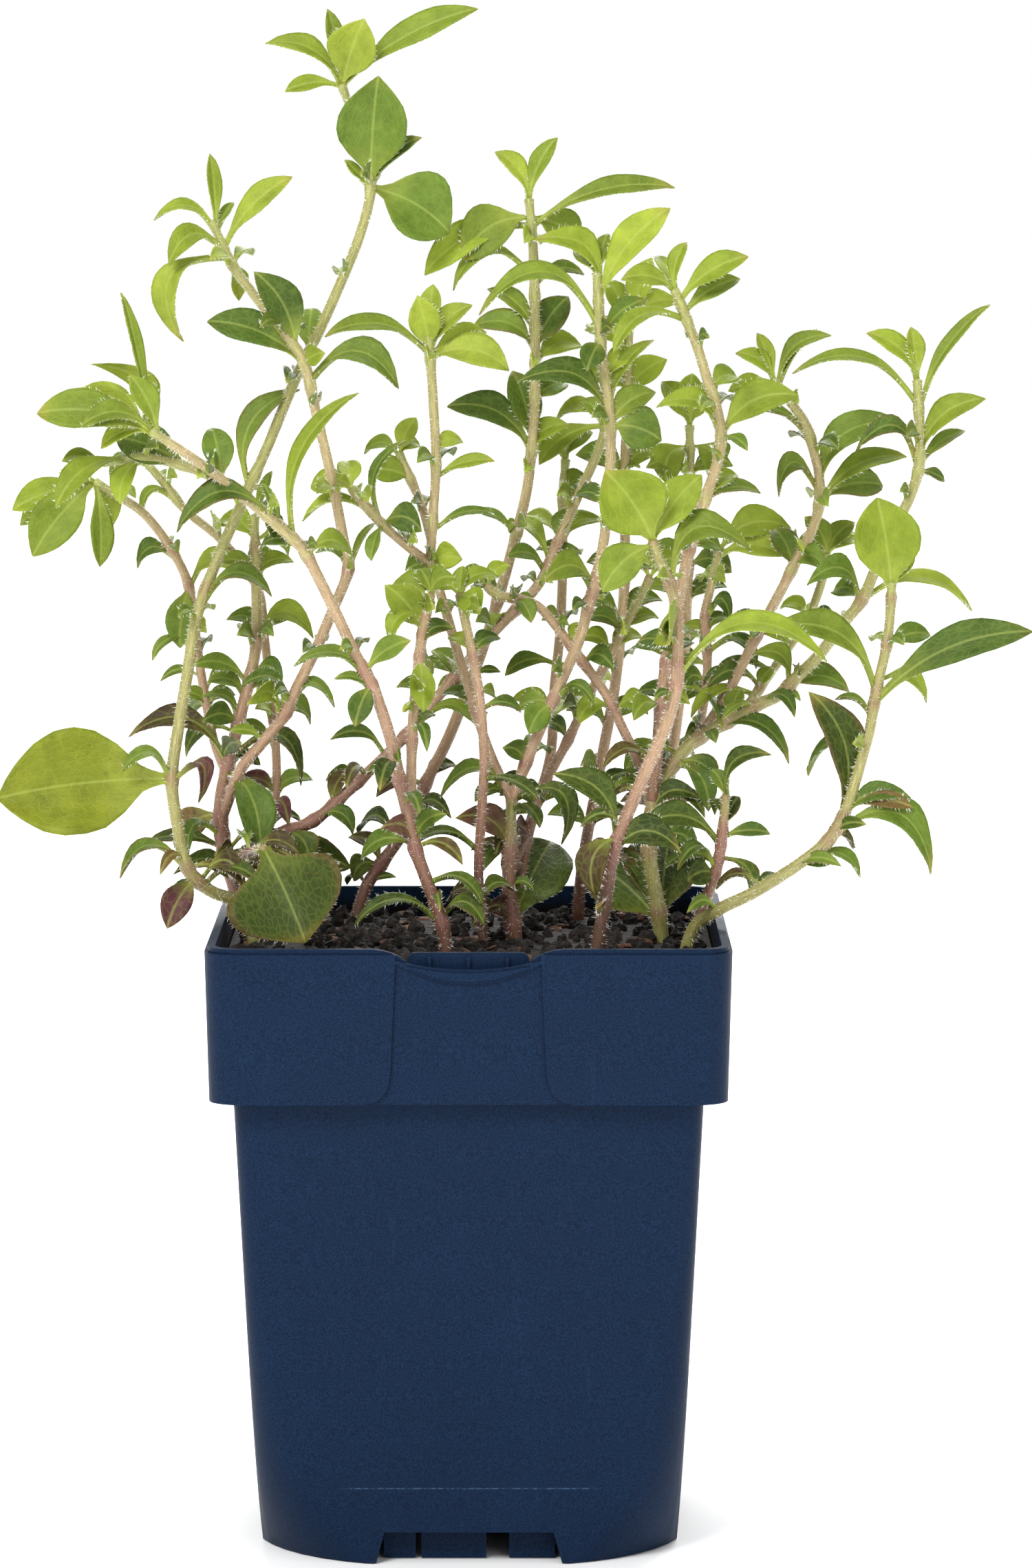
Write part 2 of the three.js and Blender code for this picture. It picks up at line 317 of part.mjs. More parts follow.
// A blade along an arched midrib. It gives the midrib's point and the blade's own directions.
function bladeFrame(root, leaf, extraDepth) {
  const [, across, up, back, width, bow, roll] = leaf;
  const chord = new THREE.Vector3(across, back + extraDepth, up);
  const along = chord.clone().normalize();
  const rise = UP.clone().addScaledVector(along, -along.z).normalize();
  const forward = FRONT.clone().addScaledVector(along, -along.dot(FRONT)).normalize();
  const level = along.clone().cross(forward);
  level.multiplyScalar(level.z < 0 ? -1 : 1);
  const turn = THREE.MathUtils.degToRad(roll);
  const face = level.multiplyScalar(Math.cos(turn)).addScaledVector(forward, Math.sin(turn));
  const spread = along.clone().cross(face);
  const midrib = (t) => root.clone().addScaledVector(chord, t).addScaledVector(rise, bow * 4 * t * (1 - t));
  return { midrib, spread, face, width, length: chord.length() };
}

function bladeSamples(blade) {
  const across = Math.max(2, Math.ceil(blade.width / 2.5));
  const lengthwise = Math.max(5, Math.ceil(blade.length / 2.5));
  const samples = [];
  for (let i = 1; i <= lengthwise; i += 1) {
    const t = 0.15 + (0.85 * i) / lengthwise;
    const half = (blade.width / 2) * (t < 0.6 ? 0.3 + (0.7 * t) / 0.6 : 1 - 0.9 * ((t - 0.6) / 0.4) ** 2);
    for (let j = 0; j <= across; j += 1) {
      samples.push(blade.midrib(t).addScaledVector(blade.spread, half * ((2 * j) / across - 1)));
    }
  }
  return samples;
}

function isClear(samples, others, distance) {
  const limit = distance * distance;
  return samples.every((sample) => others.every((other) => sample.distanceToSquared(other) >= limit));
}

// Leaves that stay in the pot and above its rim, so that a blade never cuts its wall.
function clearOfPot(samples) {
  return samples.every((p) => {
    const out = Math.max(Math.abs(p.x), Math.abs(p.y));
    const overSoil = p.z > SOIL_TOP + SOIL_BUMP + 1.2;
    const overRim = p.z > POT_HEIGHT + 1.4;
    return overRim || (overSoil && out < COLLAR_HALF - WALL - 1.4) || out > COLLAR_HALF + PANEL_PROUD + 1.6;
  });
}

// Every leaf is tried at its own depth first, then nearer and farther, until it is clear of the other
// stems and their leaves. One that finds no room is left out.
function layOut() {
  const stems = PLANT.map((plant) => ({
    name: plant.name,
    branches: plant.branches.map((branch) => ({ ...branch, points: branch.path.map(placed), blades: [] })),
    stemSamples: [],
    leafSamples: [],
  }));
  for (const stem of stems) {
    for (const branch of stem.branches) {
      const last = branch.points.length - 1;
      for (let place = 0; place <= last; place += 0.2) {
        stem.stemSamples.push(pointAt(branch.points, place));
      }
    }
  }
  const tryLeaf = (stem, branch, leaf) => {
    const root = pointAt(branch.points, leaf[0]);
    for (const extraDepth of DEPTH_TRIALS) {
      const blade = bladeFrame(root, leaf, extraDepth);
      const samples = bladeSamples(blade);
      const fits = clearOfPot(samples) && stems.every((other) => other === stem
        || (isClear(samples, other.stemSamples, CLEAR_OF_STEM)
          && isClear(samples, other.leafSamples, CLEAR_OF_LEAF)));
      if (fits) {
        branch.blades.push(blade);
        stem.leafSamples.push(...samples);
        return;
      }
    }
  };
  for (const stem of stems) {
    for (const branch of stem.branches) {
      branch.leaves.forEach((leaf) => tryLeaf(stem, branch, leaf));
    }
  }
  return stems;
}

function geometryFrom(points, triangles) {
  const geometry = new THREE.BufferGeometry();
  const numbers = points.flatMap((p) => [p.x, p.y, p.z]);
  geometry.setAttribute('position', new THREE.Float32BufferAttribute(numbers, 3));
  geometry.setIndex(triangles.flat());
  return geometry;
}

function solidFrom(geometry) {
  const bare = geometry.clone();
  bare.deleteAttribute('normal');
  bare.deleteAttribute('uv');
  const merged = mergeVertices(bare, 1e-4);
  return new wasm.Manifold(new wasm.Mesh({
    numProp: 3,
    vertProperties: new Float32Array(merged.attributes.position.array),
    triVerts: new Uint32Array(merged.index.array),
  }));
}

function geometryOf(solid) {
  const mesh = solid.getMesh();
  const geometry = new THREE.BufferGeometry();
  geometry.setAttribute('position', new THREE.Float32BufferAttribute(mesh.vertProperties, 3));
  geometry.setIndex(Array.from(mesh.triVerts));
  geometry.computeVertexNormals();
  return geometry;
}

// Rings of the same number of points, joined in order and closed at both ends by a fan to a centre.
function lofted(rings) {
  const count = rings[0].length;
  const points = rings.flat();
  const triangles = [];
  for (let r = 0; r < rings.length - 1; r += 1) {
    for (let i = 0; i < count; i += 1) {
      const a = r * count + i;
      const b = r * count + ((i + 1) % count);
      triangles.push([a, b, b + count], [a, b + count, a + count]);
    }
  }
  const middle = (ring) => ring.reduce((sum, p) => sum.add(p), new THREE.Vector3()).divideScalar(count);
  const startIndex = points.length;
  points.push(middle(rings[0]), middle(rings[rings.length - 1]));
  const lastRing = (rings.length - 1) * count;
  for (let i = 0; i < count; i += 1) {
    const next = (i + 1) % count;
    triangles.push([startIndex, next, i], [startIndex + 1, lastRing + i, lastRing + next]);
  }
  return geometryFrom(points, triangles);
}

// A square with round corners, seen from above and run anticlockwise. Flatness from 0 to 1 draws each
// corner's arc towards its chord, which leaves a soft crease at both its ends.
function roundSquare(half, radius, z, steps, flatness = 0) {
  const ring = [];
  for (let corner = 0; corner < 4; corner += 1) {
    for (let i = 0; i < steps; i += 1) {
      const angle = (corner + i / (steps - 1)) * (Math.PI / 2);
      const cx = (half - radius) * (corner === 0 || corner === 3 ? 1 : -1);
      const cy = (half - radius) * (corner < 2 ? 1 : -1);
      const share = i / (steps - 1);
      const start = (corner * Math.PI) / 2;
      const between = (turn) => (1 - share) * turn(start) + share * turn(start + Math.PI / 2);
      const chordX = between(Math.cos);
      const chordY = between(Math.sin);
      const x = Math.cos(angle) * (1 - flatness) + chordX * flatness;
      const y = Math.sin(angle) * (1 - flatness) + chordY * flatness;
      ring.push(new THREE.Vector3(cx + radius * x, cy + radius * y, z));
    }
  }
  return ring;
}

// The lower wall: its corners grow rounder towards the base.
function bodyHalf(z) {
  return BASE_HALF + ((BODY_TOP_HALF - BASE_HALF) * z) / COLLAR_FOOT;
}

function bodyRadius(z) {
  return BODY_CORNER_RADIUS + BASE_CORNER_GROWTH * Math.exp(-z / CORNER_GROWTH_HEIGHT);
}

function bodyRing(z, inset, steps = POT_CORNER_STEPS) {
  const flatness = CORNER_FLATNESS * Math.exp(-z / CORNER_GROWTH_HEIGHT);
  return roundSquare(bodyHalf(z) - inset, bodyRadius(z) - inset * 0.6, z, steps, flatness);
}

function collarRing(z, inset, steps = POT_CORNER_STEPS) {
  const share = (z - COLLAR_FOOT) / (POT_HEIGHT - COLLAR_FOOT);
  return roundSquare(COLLAR_FOOT_HALF + (COLLAR_HALF - COLLAR_FOOT_HALF) * share - inset,
    CORNER_RADIUS - inset * 0.6, z, steps);
}

function prismAlongY(shape, from, depth) {
  const geometry = new THREE.ExtrudeGeometry(shape, { depth, bevelEnabled: false, curveSegments: 5 });
  geometry.rotateX(Math.PI / 2);
  geometry.translate(0, from + depth, 0);
  return geometry;
}

function boxAt(x0, x1, y0, y1, z0, z1) {
  const geometry = new THREE.BoxGeometry(x1 - x0, y1 - y0, z1 - z0);
  geometry.translate((x0 + x1) / 2, (y0 + y1) / 2, (z0 + z1) / 2);
  return geometry;
}

function trapezoid(footHalf, topHalf, foot, top) {
  const shape = new THREE.Shape();
  shape.moveTo(-footHalf, foot);
  shape.lineTo(footHalf, foot);
  shape.lineTo(topHalf, top);
  shape.lineTo(-topHalf, top);
  shape.closePath();
  return shape;
}

// The plain middle of the collar, between the two raised side panels with their round lower corners.
function collarWindow() {
  const foot = COLLAR_FOOT - 1;
  const low = COLLAR_FOOT + 0.2;
  const bend = WINDOW_HALF_FOOT - WINDOW_CORNER + 1;
  const side = WINDOW_HALF_TOP + 1;
  const shape = new THREE.Shape();
  shape.moveTo(-WINDOW_HALF_FOOT, foot);
  shape.lineTo(WINDOW_HALF_FOOT, foot);
  shape.lineTo(WINDOW_HALF_FOOT, low);
  shape.quadraticCurveTo(bend, low + 0.2, side, COLLAR_FOOT + 6);
  shape.lineTo(WINDOW_HALF_TOP, POT_HEIGHT + 1);
  shape.lineTo(-WINDOW_HALF_TOP, POT_HEIGHT + 1);
  shape.lineTo(-side, COLLAR_FOOT + 6);
  shape.quadraticCurveTo(-bend, low + 0.2, -WINDOW_HALF_FOOT, low);
  shape.closePath();
  return shape;
}

// The rim dips in the middle of the front wall.
function rimDip() {
  const foot = POT_HEIGHT - RIM_DIP_DEPTH;
  const shape = new THREE.Shape();
  shape.moveTo(-RIM_DIP_HALF, POT_HEIGHT + 2);
  shape.lineTo(-RIM_DIP_HALF, POT_HEIGHT);
  shape.quadraticCurveTo(-RIM_DIP_FLAT - 2, POT_HEIGHT - 0.3, -RIM_DIP_FLAT, foot + 0.4);
  shape.quadraticCurveTo(0, foot - 0.9, RIM_DIP_FLAT, foot + 0.4);
  shape.quadraticCurveTo(RIM_DIP_FLAT + 2, POT_HEIGHT - 0.3, RIM_DIP_HALF, POT_HEIGHT);
  shape.lineTo(RIM_DIP_HALF, POT_HEIGHT + 2);
  shape.closePath();
  return shape;
}

// The rolled lip under the dip, a crescent that hangs from the dip's lower edge.
function rolledLip(inset, half) {
  const dipFoot = POT_HEIGHT - RIM_DIP_DEPTH - 0.25;
  const end = POT_HEIGHT - 1.5;
  const low = [];
  const high = [];
  for (let i = 0; i <= LIP_STEPS; i += 1) {
    const x = half * ((2 * i) / LIP_STEPS - 1);
    const share = (x / LIP_HALF) ** 2;
    const top = dipFoot + (end - dipFoot) * share;
    low.push(new THREE.Vector2(x, top - LIP_HEIGHT * (1 - share) - 0.15 + inset));
    high.unshift(new THREE.Vector2(x, top - inset));
  }
  return new THREE.Shape([...low, ...high]);
}

// The tab behind the dip, with round upper corners.
function tabShape() {
  const shape = new THREE.Shape();
  shape.moveTo(-TAB_HALF, TAB_FOOT);
  shape.lineTo(TAB_HALF, TAB_FOOT);
  shape.lineTo(TAB_HALF, TAB_TOP - TAB_CORNER);
  shape.quadraticCurveTo(TAB_HALF, TAB_TOP, TAB_HALF - TAB_CORNER, TAB_TOP);
  shape.lineTo(-TAB_HALF + TAB_CORNER, TAB_TOP);
  shape.quadraticCurveTo(-TAB_HALF, TAB_TOP, -TAB_HALF, TAB_TOP - TAB_CORNER);
  shape.closePath();
  return shape;
}

function makePot() {
  const outer = [0, 3, 8, 13, 18, 25, 32, 41, 50, 66, COLLAR_FOOT].map((z) => bodyRing(z, 0));
  outer.push(collarRing(COLLAR_FOOT, 0), collarRing(POT_HEIGHT, 0));
  const inner = [collarRing(POT_HEIGHT, WALL), collarRing(COLLAR_FOOT + WALL, WALL),
    bodyRing(COLLAR_FOOT + WALL - 0.2, WALL), bodyRing(50, WALL), bodyRing(32, WALL), bodyRing(18, WALL),
    bodyRing(FLOOR_TOP, WALL)];
  let pot = solidFrom(lofted([...outer, ...inner]));
  const underFloor = solidFrom(lofted([bodyRing(-1, WALL), bodyRing(FLOOR_UNDERSIDE, WALL)]));
  pot = pot.subtract(underFloor);

  const panels = solidFrom(lofted([collarRing(COLLAR_FOOT, -PANEL_PROUD),
    collarRing(PANEL_TOP, -PANEL_PROUD)]));
  const panelHollow = solidFrom(lofted([collarRing(COLLAR_FOOT - 1, 0.4), collarRing(POT_HEIGHT + 1, 0.4)]));
  const window = solidFrom(prismAlongY(collarWindow(), -60, 120));
  pot = pot.add(panels.subtract(panelHollow).subtract(window));

  pot = pot.subtract(solidFrom(prismAlongY(rimDip(), -60, 30)));
  pot = pot.add(solidFrom(prismAlongY(rolledLip(0, LIP_HALF), -COLLAR_HALF - LIP_PROUD + 0.4, LIP_PROUD)));
  const roll = rolledLip(LIP_ROUND, LIP_ROUND_HALF);
  pot = pot.add(solidFrom(prismAlongY(roll, -COLLAR_HALF - LIP_PROUD, LIP_PROUD + 0.2)));
  const tabBack = -COLLAR_HALF + WALL + TAB_BACK;
  pot = pot.add(solidFrom(prismAlongY(tabShape(), tabBack - 1, 1)));
  const shelf = boxAt(-TAB_HALF, TAB_HALF, -COLLAR_HALF + 0.6, tabBack - 0.5, TAB_FOOT, TAB_FOOT + 1.4);
  pot = pot.add(solidFrom(shelf));
  for (const x of [-6.7, 0, 6.7]) {
    const rib = boxAt(x - 0.3, x + 0.3, tabBack - 1.8, tabBack - 0.5, TAB_FOOT + 1, TAB_TOP - 0.6);
    pot = pot.add(solidFrom(rib));
  }

  const notch = solidFrom(prismAlongY(trapezoid(NOTCH_HALF_FOOT, NOTCH_HALF_TOP, -1, NOTCH_HEIGHT), -60, 120));
  const turned = solidFrom(prismAlongY(trapezoid(NOTCH_HALF_FOOT, NOTCH_HALF_TOP, -1, NOTCH_HEIGHT), -60, 120)
    .rotateZ(Math.PI / 2));
  pot = pot.subtract(notch.add(turned));
  for (const quarter of [0, 1, 2, 3]) {
    for (const [x0, x1] of [[-15, -9.4], [-8.4, 3], [7, 15]]) {
      const foot = boxAt(x0, x1, -32.5, -31, 0, FLOOR_UNDERSIDE + 0.4).rotateZ((quarter * Math.PI) / 2);
      pot = pot.add(solidFrom(foot));
    }
  }
  const centreFoot = [0, FLOOR_UNDERSIDE + 0.4].map((z) => tubeRing(new THREE.Vector3(0, 0, z), UP,
    CENTRE_FOOT_RADIUS, 24));
  pot = pot.add(solidFrom(lofted(centreFoot)));
  for (const quarter of [0, 1, 2, 3]) {
    const slot = boxAt(3.6, 6.6, -30, -12, 5, FLOOR_TOP + 1).rotateZ((quarter * Math.PI) / 2);
    pot = pot.subtract(solidFrom(slot));
  }
  return pot;
}

// A repeatable draw between 0 and 1 for the soil's clods.
function drawOf(seed) {
  const value = Math.sin(seed * 12.9898) * 43758.5453;
  return value - Math.floor(value);
}

function makeSoil(stems) {
  const inset = WALL + GAP;
  const steps = SOIL_CORNER_STEPS;
  const sides = [FLOOR_TOP + GAP, 18, 32, 50, COLLAR_FOOT + WALL].map((z) => bodyRing(z, inset, steps));
  sides.push(collarRing(COLLAR_FOOT + WALL + GAP, inset, steps));
  const top = [collarRing(SOIL_TOP - 1.2, inset, steps)];
  [0.86, 0.66, 0.45, 0.24, 0.08].forEach((share, r) => {
    top.push(collarRing(SOIL_TOP, inset, steps).map((p, i) => new THREE.Vector3(p.x * share, p.y * share,
      SOIL_TOP + SOIL_BUMP * (drawOf(r * 31 + i) - 0.5))));
  });
  let soil = solidFrom(lofted([...sides, ...top]));
  const tabRoom = boxAt(-TAB_HALF - GAP, TAB_HALF + GAP, -COLLAR_HALF, -COLLAR_HALF + WALL + TAB_BACK + GAP,
    TAB_FOOT - GAP, POT_HEIGHT);
  soil = soil.subtract(solidFrom(tabRoom));
  for (const stem of stems) {
    for (const branch of stem.branches) {
      const foot = branch.points[0];
      if (foot.z < PLANTED_BELOW) {
        const radius = branch.radii[0] + HOLE_CLEARANCE;
        const direction = branch.points[1].clone().sub(foot).normalize();
        const rings = [-9, 8].map((reach) => tubeRing(foot.clone().addScaledVector(direction, reach),
          direction, radius, 8));
        soil = soil.subtract(solidFrom(lofted(rings)));
      }
    }
  }
  return soil;
}

function tubeRing(centre, direction, radius, sides) {
  const first = Math.abs(direction.x) < 0.9 ? new THREE.Vector3(1, 0, 0) : new THREE.Vector3(0, 1, 0);
  const u = first.addScaledVector(direction, -first.dot(direction)).normalize();
  const v = direction.clone().cross(u);
  return Array.from({ length: sides }, (_, i) => {
    const angle = (i / sides) * Math.PI * 2;
    const sideways = u.clone().multiplyScalar(radius * Math.cos(angle));
    return sideways.addScaledVector(v, radius * Math.sin(angle)).add(centre);
  });
}

function branchSolid(branch, standsInSoil) {
  const points = branch.points.map((p) => p.clone());
  if (standsInSoil) {
    const direction = points[1].clone().sub(points[0]).normalize();
    points[0].addScaledVector(direction, -7);
  }
  const last = points.length - 1;
  const rings = points.map((p, i) => {
    const direction = points[Math.min(i + 1, last)].clone().sub(points[Math.max(i - 1, 0)]).normalize();
    const radius = branch.radii[0] + ((branch.radii[1] - branch.radii[0]) * i) / last;
    return tubeRing(p, direction, radius, STEM_SIDES);
  });
  return solidFrom(lofted(rings));
}

// A blade with a keel along its midrib: left edge, keel and right edge at each station. Its root ends
// on the axis of its stem, inside it.
function bladeSolid(blade) {
  const stations = blade.length > LONG_LEAF ? LONG_STATIONS : SHORT_STATIONS;
  const section = (t, half, thickness) => {
    const centre = blade.midrib(t);
    return [
      centre.clone().addScaledVector(blade.spread, -half).addScaledVector(blade.face, thickness / 2),
      centre.clone().addScaledVector(blade.face, -thickness / 2),
      centre.clone().addScaledVector(blade.spread, half).addScaledVector(blade.face, thickness / 2),
    ];
  };
  const rings = [section(0, LEAF_ROOT_HALF, LEAF_ROOT_THICKNESS)];
  for (const [t, share] of stations) {
    rings.push(section(t, Math.max((blade.width / 2) * share, 0.7), LEAF_THICKNESS));
  }
  const count = 3;
  const points = rings.flat();
  const tip = points.length;
  points.push(blade.midrib(1));
  const triangles = [[0, 2, 1]];
  for (let r = 0; r < rings.length - 1; r += 1) {
    for (const i of [0, 1, 2]) {
      const a = r * count + i;
      const b = r * count + ((i + 1) % count);
      triangles.push([a, b, b + count], [a, b + count, a + count]);
    }
  }
  const lastRing = (rings.length - 1) * count;
  for (const i of [0, 1, 2]) {
    triangles.push([lastRing + i, lastRing + ((i + 1) % count), tip]);
  }
  const solid = solidFrom(geometryFrom(points, triangles));
  const turned = triangles.map(([a, b, c]) => [a, c, b]);
  return solid.volume() > 0 ? solid : solidFrom(geometryFrom(points, turned));
}

// The outer body alone, with any sealed hollow between crossing blades filled.
function outerBody(solid) {
  return solid.decompose().reduce((largest, part) => (part.volume() > largest.volume() ? part : largest));
}

function stemSolid(stem) {
  let solid = null;
  for (const branch of stem.branches) {
    const standsInSoil = branch.points[0].z < PLANTED_BELOW;
    const tube = branchSolid(branch, standsInSoil);
    solid = solid ? solid.add(tube) : tube;
    for (const blade of branch.blades) {
      solid = solid.add(bladeSolid(blade));
    }
  }
  return outerBody(solid);
}

function meshOf(name, solid, material) {
  const mesh = new THREE.Mesh(geometryOf(solid), material);
  mesh.name = name;
  return mesh;
}

const pottedSoapwort = new THREE.Group();
const stems = layOut();
pottedSoapwort.add(meshOf('pot', makePot(), POT_BLUE));
pottedSoapwort.add(meshOf('soil', makeSoil(stems), SOIL_BROWN));
for (const stem of stems) {
  pottedSoapwort.add(meshOf(stem.name, stemSolid(stem), LEAF_GREEN));
}

export default pottedSoapwort;
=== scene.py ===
"""Potted soapwort: a square nursery pot with soil and leafy stems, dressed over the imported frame.

Lengths are in millimetres in the tables and sizes, and become metres when a mesh is made.
"""
import logging
import math
from dataclasses import dataclass, field
from enum import Enum
from typing import NamedTuple, Sequence

import bpy
import numpy as np
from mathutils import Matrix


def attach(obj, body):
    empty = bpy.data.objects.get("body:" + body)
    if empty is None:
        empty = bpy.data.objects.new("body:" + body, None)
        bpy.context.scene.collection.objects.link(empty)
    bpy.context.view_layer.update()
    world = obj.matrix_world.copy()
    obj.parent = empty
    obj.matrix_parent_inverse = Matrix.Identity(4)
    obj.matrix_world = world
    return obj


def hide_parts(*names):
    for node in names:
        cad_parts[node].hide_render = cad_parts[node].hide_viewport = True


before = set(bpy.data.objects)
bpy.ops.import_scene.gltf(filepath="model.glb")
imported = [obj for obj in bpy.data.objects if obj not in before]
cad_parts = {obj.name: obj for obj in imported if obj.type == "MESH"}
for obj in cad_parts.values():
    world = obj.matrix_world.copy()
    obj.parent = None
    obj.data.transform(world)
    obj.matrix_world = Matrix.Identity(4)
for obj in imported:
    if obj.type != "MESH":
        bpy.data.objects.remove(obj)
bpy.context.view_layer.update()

logging.basicConfig(level=logging.INFO, format="%(message)s")
LOG = logging.getLogger("soapwort")

Array = np.ndarray
Draw = np.random.Generator
Material = bpy.types.Material
Socket = bpy.types.NodeSocket

MM = 0.001
UP = np.array([0.0, 0.0, 1.0])
FRONT = np.array([0.0, -1.0, 0.0])
NOTHING = np.zeros(3)
EYE = np.array([8.2, -1100.0, 250.0])
SEED = 1907
UNDERGROWTH_SEED = SEED + 9
SOIL_SEED = SEED + 50


@dataclass(frozen=True)
class Clearances:
    """The pot's sizes and the room that leaves keep to it and to each other, the same as on the solids."""

    solid_leaf_area: float = 28.0
    from_leaf: float = 2.3
    from_stem: float = 2.7
    from_wall: float = 1.4
    from_panel: float = 1.6
    from_soil: float = 1.2
    sample_step: float = 2.5
    depth_trials: tuple[float, ...] = (0, 4, -4, 8, -8, 12, -12, 16, -16)
    pot_height: float = 109.3
    soil_top: float = 104.6
    soil_bump: float = 1.5
    collar_half: float = 45.0
    wall: float = 1.3
    panel_proud: float = 0.6


@dataclass(frozen=True)
class Habit:
    """How the plant grows: heights and leaf widths in mm, and chances."""

    thick_from: float = 108.0
    thick_to: float = 150.0
    low_length: tuple[float, float] = (5, 13)
    low_slimness: tuple[float, float] = (0.24, 0.4)
    high_length: tuple[float, float] = (6, 9)
    basal_width: float = 17.0
    wide: float = 9.0
    wide_old_below: float = 120.0
    dying_below: float = 136.0
    dying: float = 0.32
    dried: float = 0.7
    old_below: float = 140.0
    old: float = 0.6
    young_above: float = 160.0
    tip_places: float = 1.6
    large: float = 6.5
    young_large: float = 0.1
    young_small: float = 0.32


ROOM = Clearances()
HABIT = Habit()


class LeafAge(Enum):
    """How old a leaf is: its colours above, its colour beneath, and how blotched it is, from 0 to 1."""

    YOUNG = (("#85952c", "#97a438", "#75862a"), "#98a440", 0.0)
    GROWN = (("#5e7428", "#4b6022", "#6c8030"), "#76863a", 0.25)
    OLD = (("#3e4d18", "#48581a", "#344316"), "#5e6a30", 0.9)
    PURPLE = (("#5e343a", "#512f30", "#62403a"), "#70564a", 0.7)
    DRIED = (("#5e4a28", "#705632", "#46361f"), "#7d6a44", 1.0)
    YELLOW = (("#7d8520", "#7d8520", "#7d8520"), "#9a9c3c", 0.5)

    def __init__(self, above: tuple[str, str, str], beneath: str, wear: float) -> None:
        """Names the values."""
        self.above = above
        self.beneath = beneath
        self.wear = wear


def linear(hex_colour: str) -> Array:
    """Turns an sRGB hex colour to linear values.

    Args:
        hex_colour: The colour as "#rrggbb".

    Returns:
        Its linear red, green and blue.
    """
    parts = np.array([int(hex_colour[i:i + 2], 16) / 255 for i in (1, 3, 5)])
    return np.where(parts <= 0.04045, parts / 12.92, ((parts + 0.055) / 1.055) ** 2.4)


def blended(rows: Array, share: Array, colour: Array) -> Array:
    """Mixes a colour, or a row of colours, into rows of colours by a share for each row."""
    share = share[:, None]
    return rows * (1 - share) + colour * share


def rows_of(text: str) -> list[list[float]]:
    """Reads the rows of numbers that stand between semicolons."""
    return [[float(number) for number in row.split()] for row in text.split(";") if row.strip()]


def placed(point: Sequence[float]) -> Array:
    """Moves a point of the tables to its depth along the line of sight."""
    across, height, depth = point
    seen = np.array([across, 0.0, height])
    return EYE + (seen - EYE) * ((depth - EYE[1]) / -EYE[1])


def unit(vector: Array) -> Array:
    """Returns a vector, or each row of vectors, at length one."""
    return vector / np.maximum(np.linalg.norm(vector, axis=-1, keepdims=True), 1e-9)


def point_at(path: Array, place: float) -> Array:
    """Returns the point of a path at a place counted in path points."""
    first = min(int(math.floor(place)), len(path) - 2)
    return path[first] + (path[first + 1] - path[first]) * (place - first)


def sampled(places: Array, known: Sequence[float], rows: Array) -> Array:
    """Reads rows of three values, which are given at the known places, at other places."""
    return np.stack([np.interp(places, known, rows[:, k]) for k in range(3)], axis=-1)


def clear_of(samples: Array, others: Array, distance: float) -> bool:
    """Says whether every sample is at least a distance from every other point."""
    if not len(others):
        return True
    gaps = ((samples[:, None] - others[None]) ** 2).sum(axis=2)
    return bool(gaps.min() >= distance * distance)


def clear_of_pot(samples: Array) -> bool:
    """Says whether the samples keep off the pot's wall and the soil."""
    out = np.abs(samples[:, :2]).max(axis=1)
    over_soil = samples[:, 2] > ROOM.soil_top + ROOM.soil_bump + ROOM.from_soil
    over_rim = samples[:, 2] > ROOM.pot_height + ROOM.from_wall
    within = over_soil & (out < ROOM.collar_half - ROOM.wall - ROOM.from_wall)
    beyond = out > ROOM.collar_half + ROOM.panel_proud + ROOM.from_panel
    return bool(np.all(over_rim | within | beyond))


class Leaf(NamedTuple):
    """One leaf as a row of numbers.

    It has its place on the path, its tip counted from its root, its greatest width, how far its middle rises
    off the straight line, and how many degrees it is rolled: 0 with its edge to the front, 90 with its face.
    """

    place: float
    across: float
    up: float
    back: float
    width: float
    bow: float
    roll: float

    def is_large(self) -> bool:
        """Says whether the solids have this leaf."""
        return math.hypot(self.across, self.up, self.back) * self.width >= ROOM.solid_leaf_area


@dataclass
class Blade:
    """A leaf in its place: its arched midrib, spread across the blade and face off its upper side."""

    root: Array
    chord: Array
    width: float
    bow: float
    roll: float
    age: LeafAge = LeafAge.GROWN

    def __post_init__(self) -> None:
        """Works out the blade's directions."""
        self.length = float(np.linalg.norm(self.chord))
        self.along = unit(self.chord)
        self.rise = unit(UP - self.along * self.along[2])
        forward = unit(FRONT - self.along * float(self.along @ FRONT))
        level = np.cross(self.along, forward)
        level = -level if level[2] < 0 else level
        turn = math.radians(self.roll)
        self.face = level * math.cos(turn) + forward * math.sin(turn)
        self.spread = np.cross(self.along, self.face)

    def midrib(self, t: Array) -> Array:
        """Returns the midrib's points at t from 0 to 1, one row each."""
        t = np.asarray(t, dtype=float)[..., None]
        return self.root + self.chord * t + self.rise * (self.bow * 4 * t * (1 - t))

    def samples(self) -> Array:
        """Returns points spread over the blade, for keeping it clear."""
        across = max(2, math.ceil(self.width / ROOM.sample_step))
        lengthwise = max(5, math.ceil(self.length / ROOM.sample_step))
        t = 0.15 + 0.85 * np.arange(1, lengthwise + 1) / lengthwise
        half = self.width / 2 * np.where(t < 0.6, 0.3 + 0.7 * t / 0.6, 1 - 0.9 * ((t - 0.6) / 0.4) ** 2)
        side = 2 * np.arange(across + 1) / across - 1
        points = self.midrib(t)[:, None] + self.spread * (half[:, None] * side)[..., None]
        return points.reshape(-1, 3)


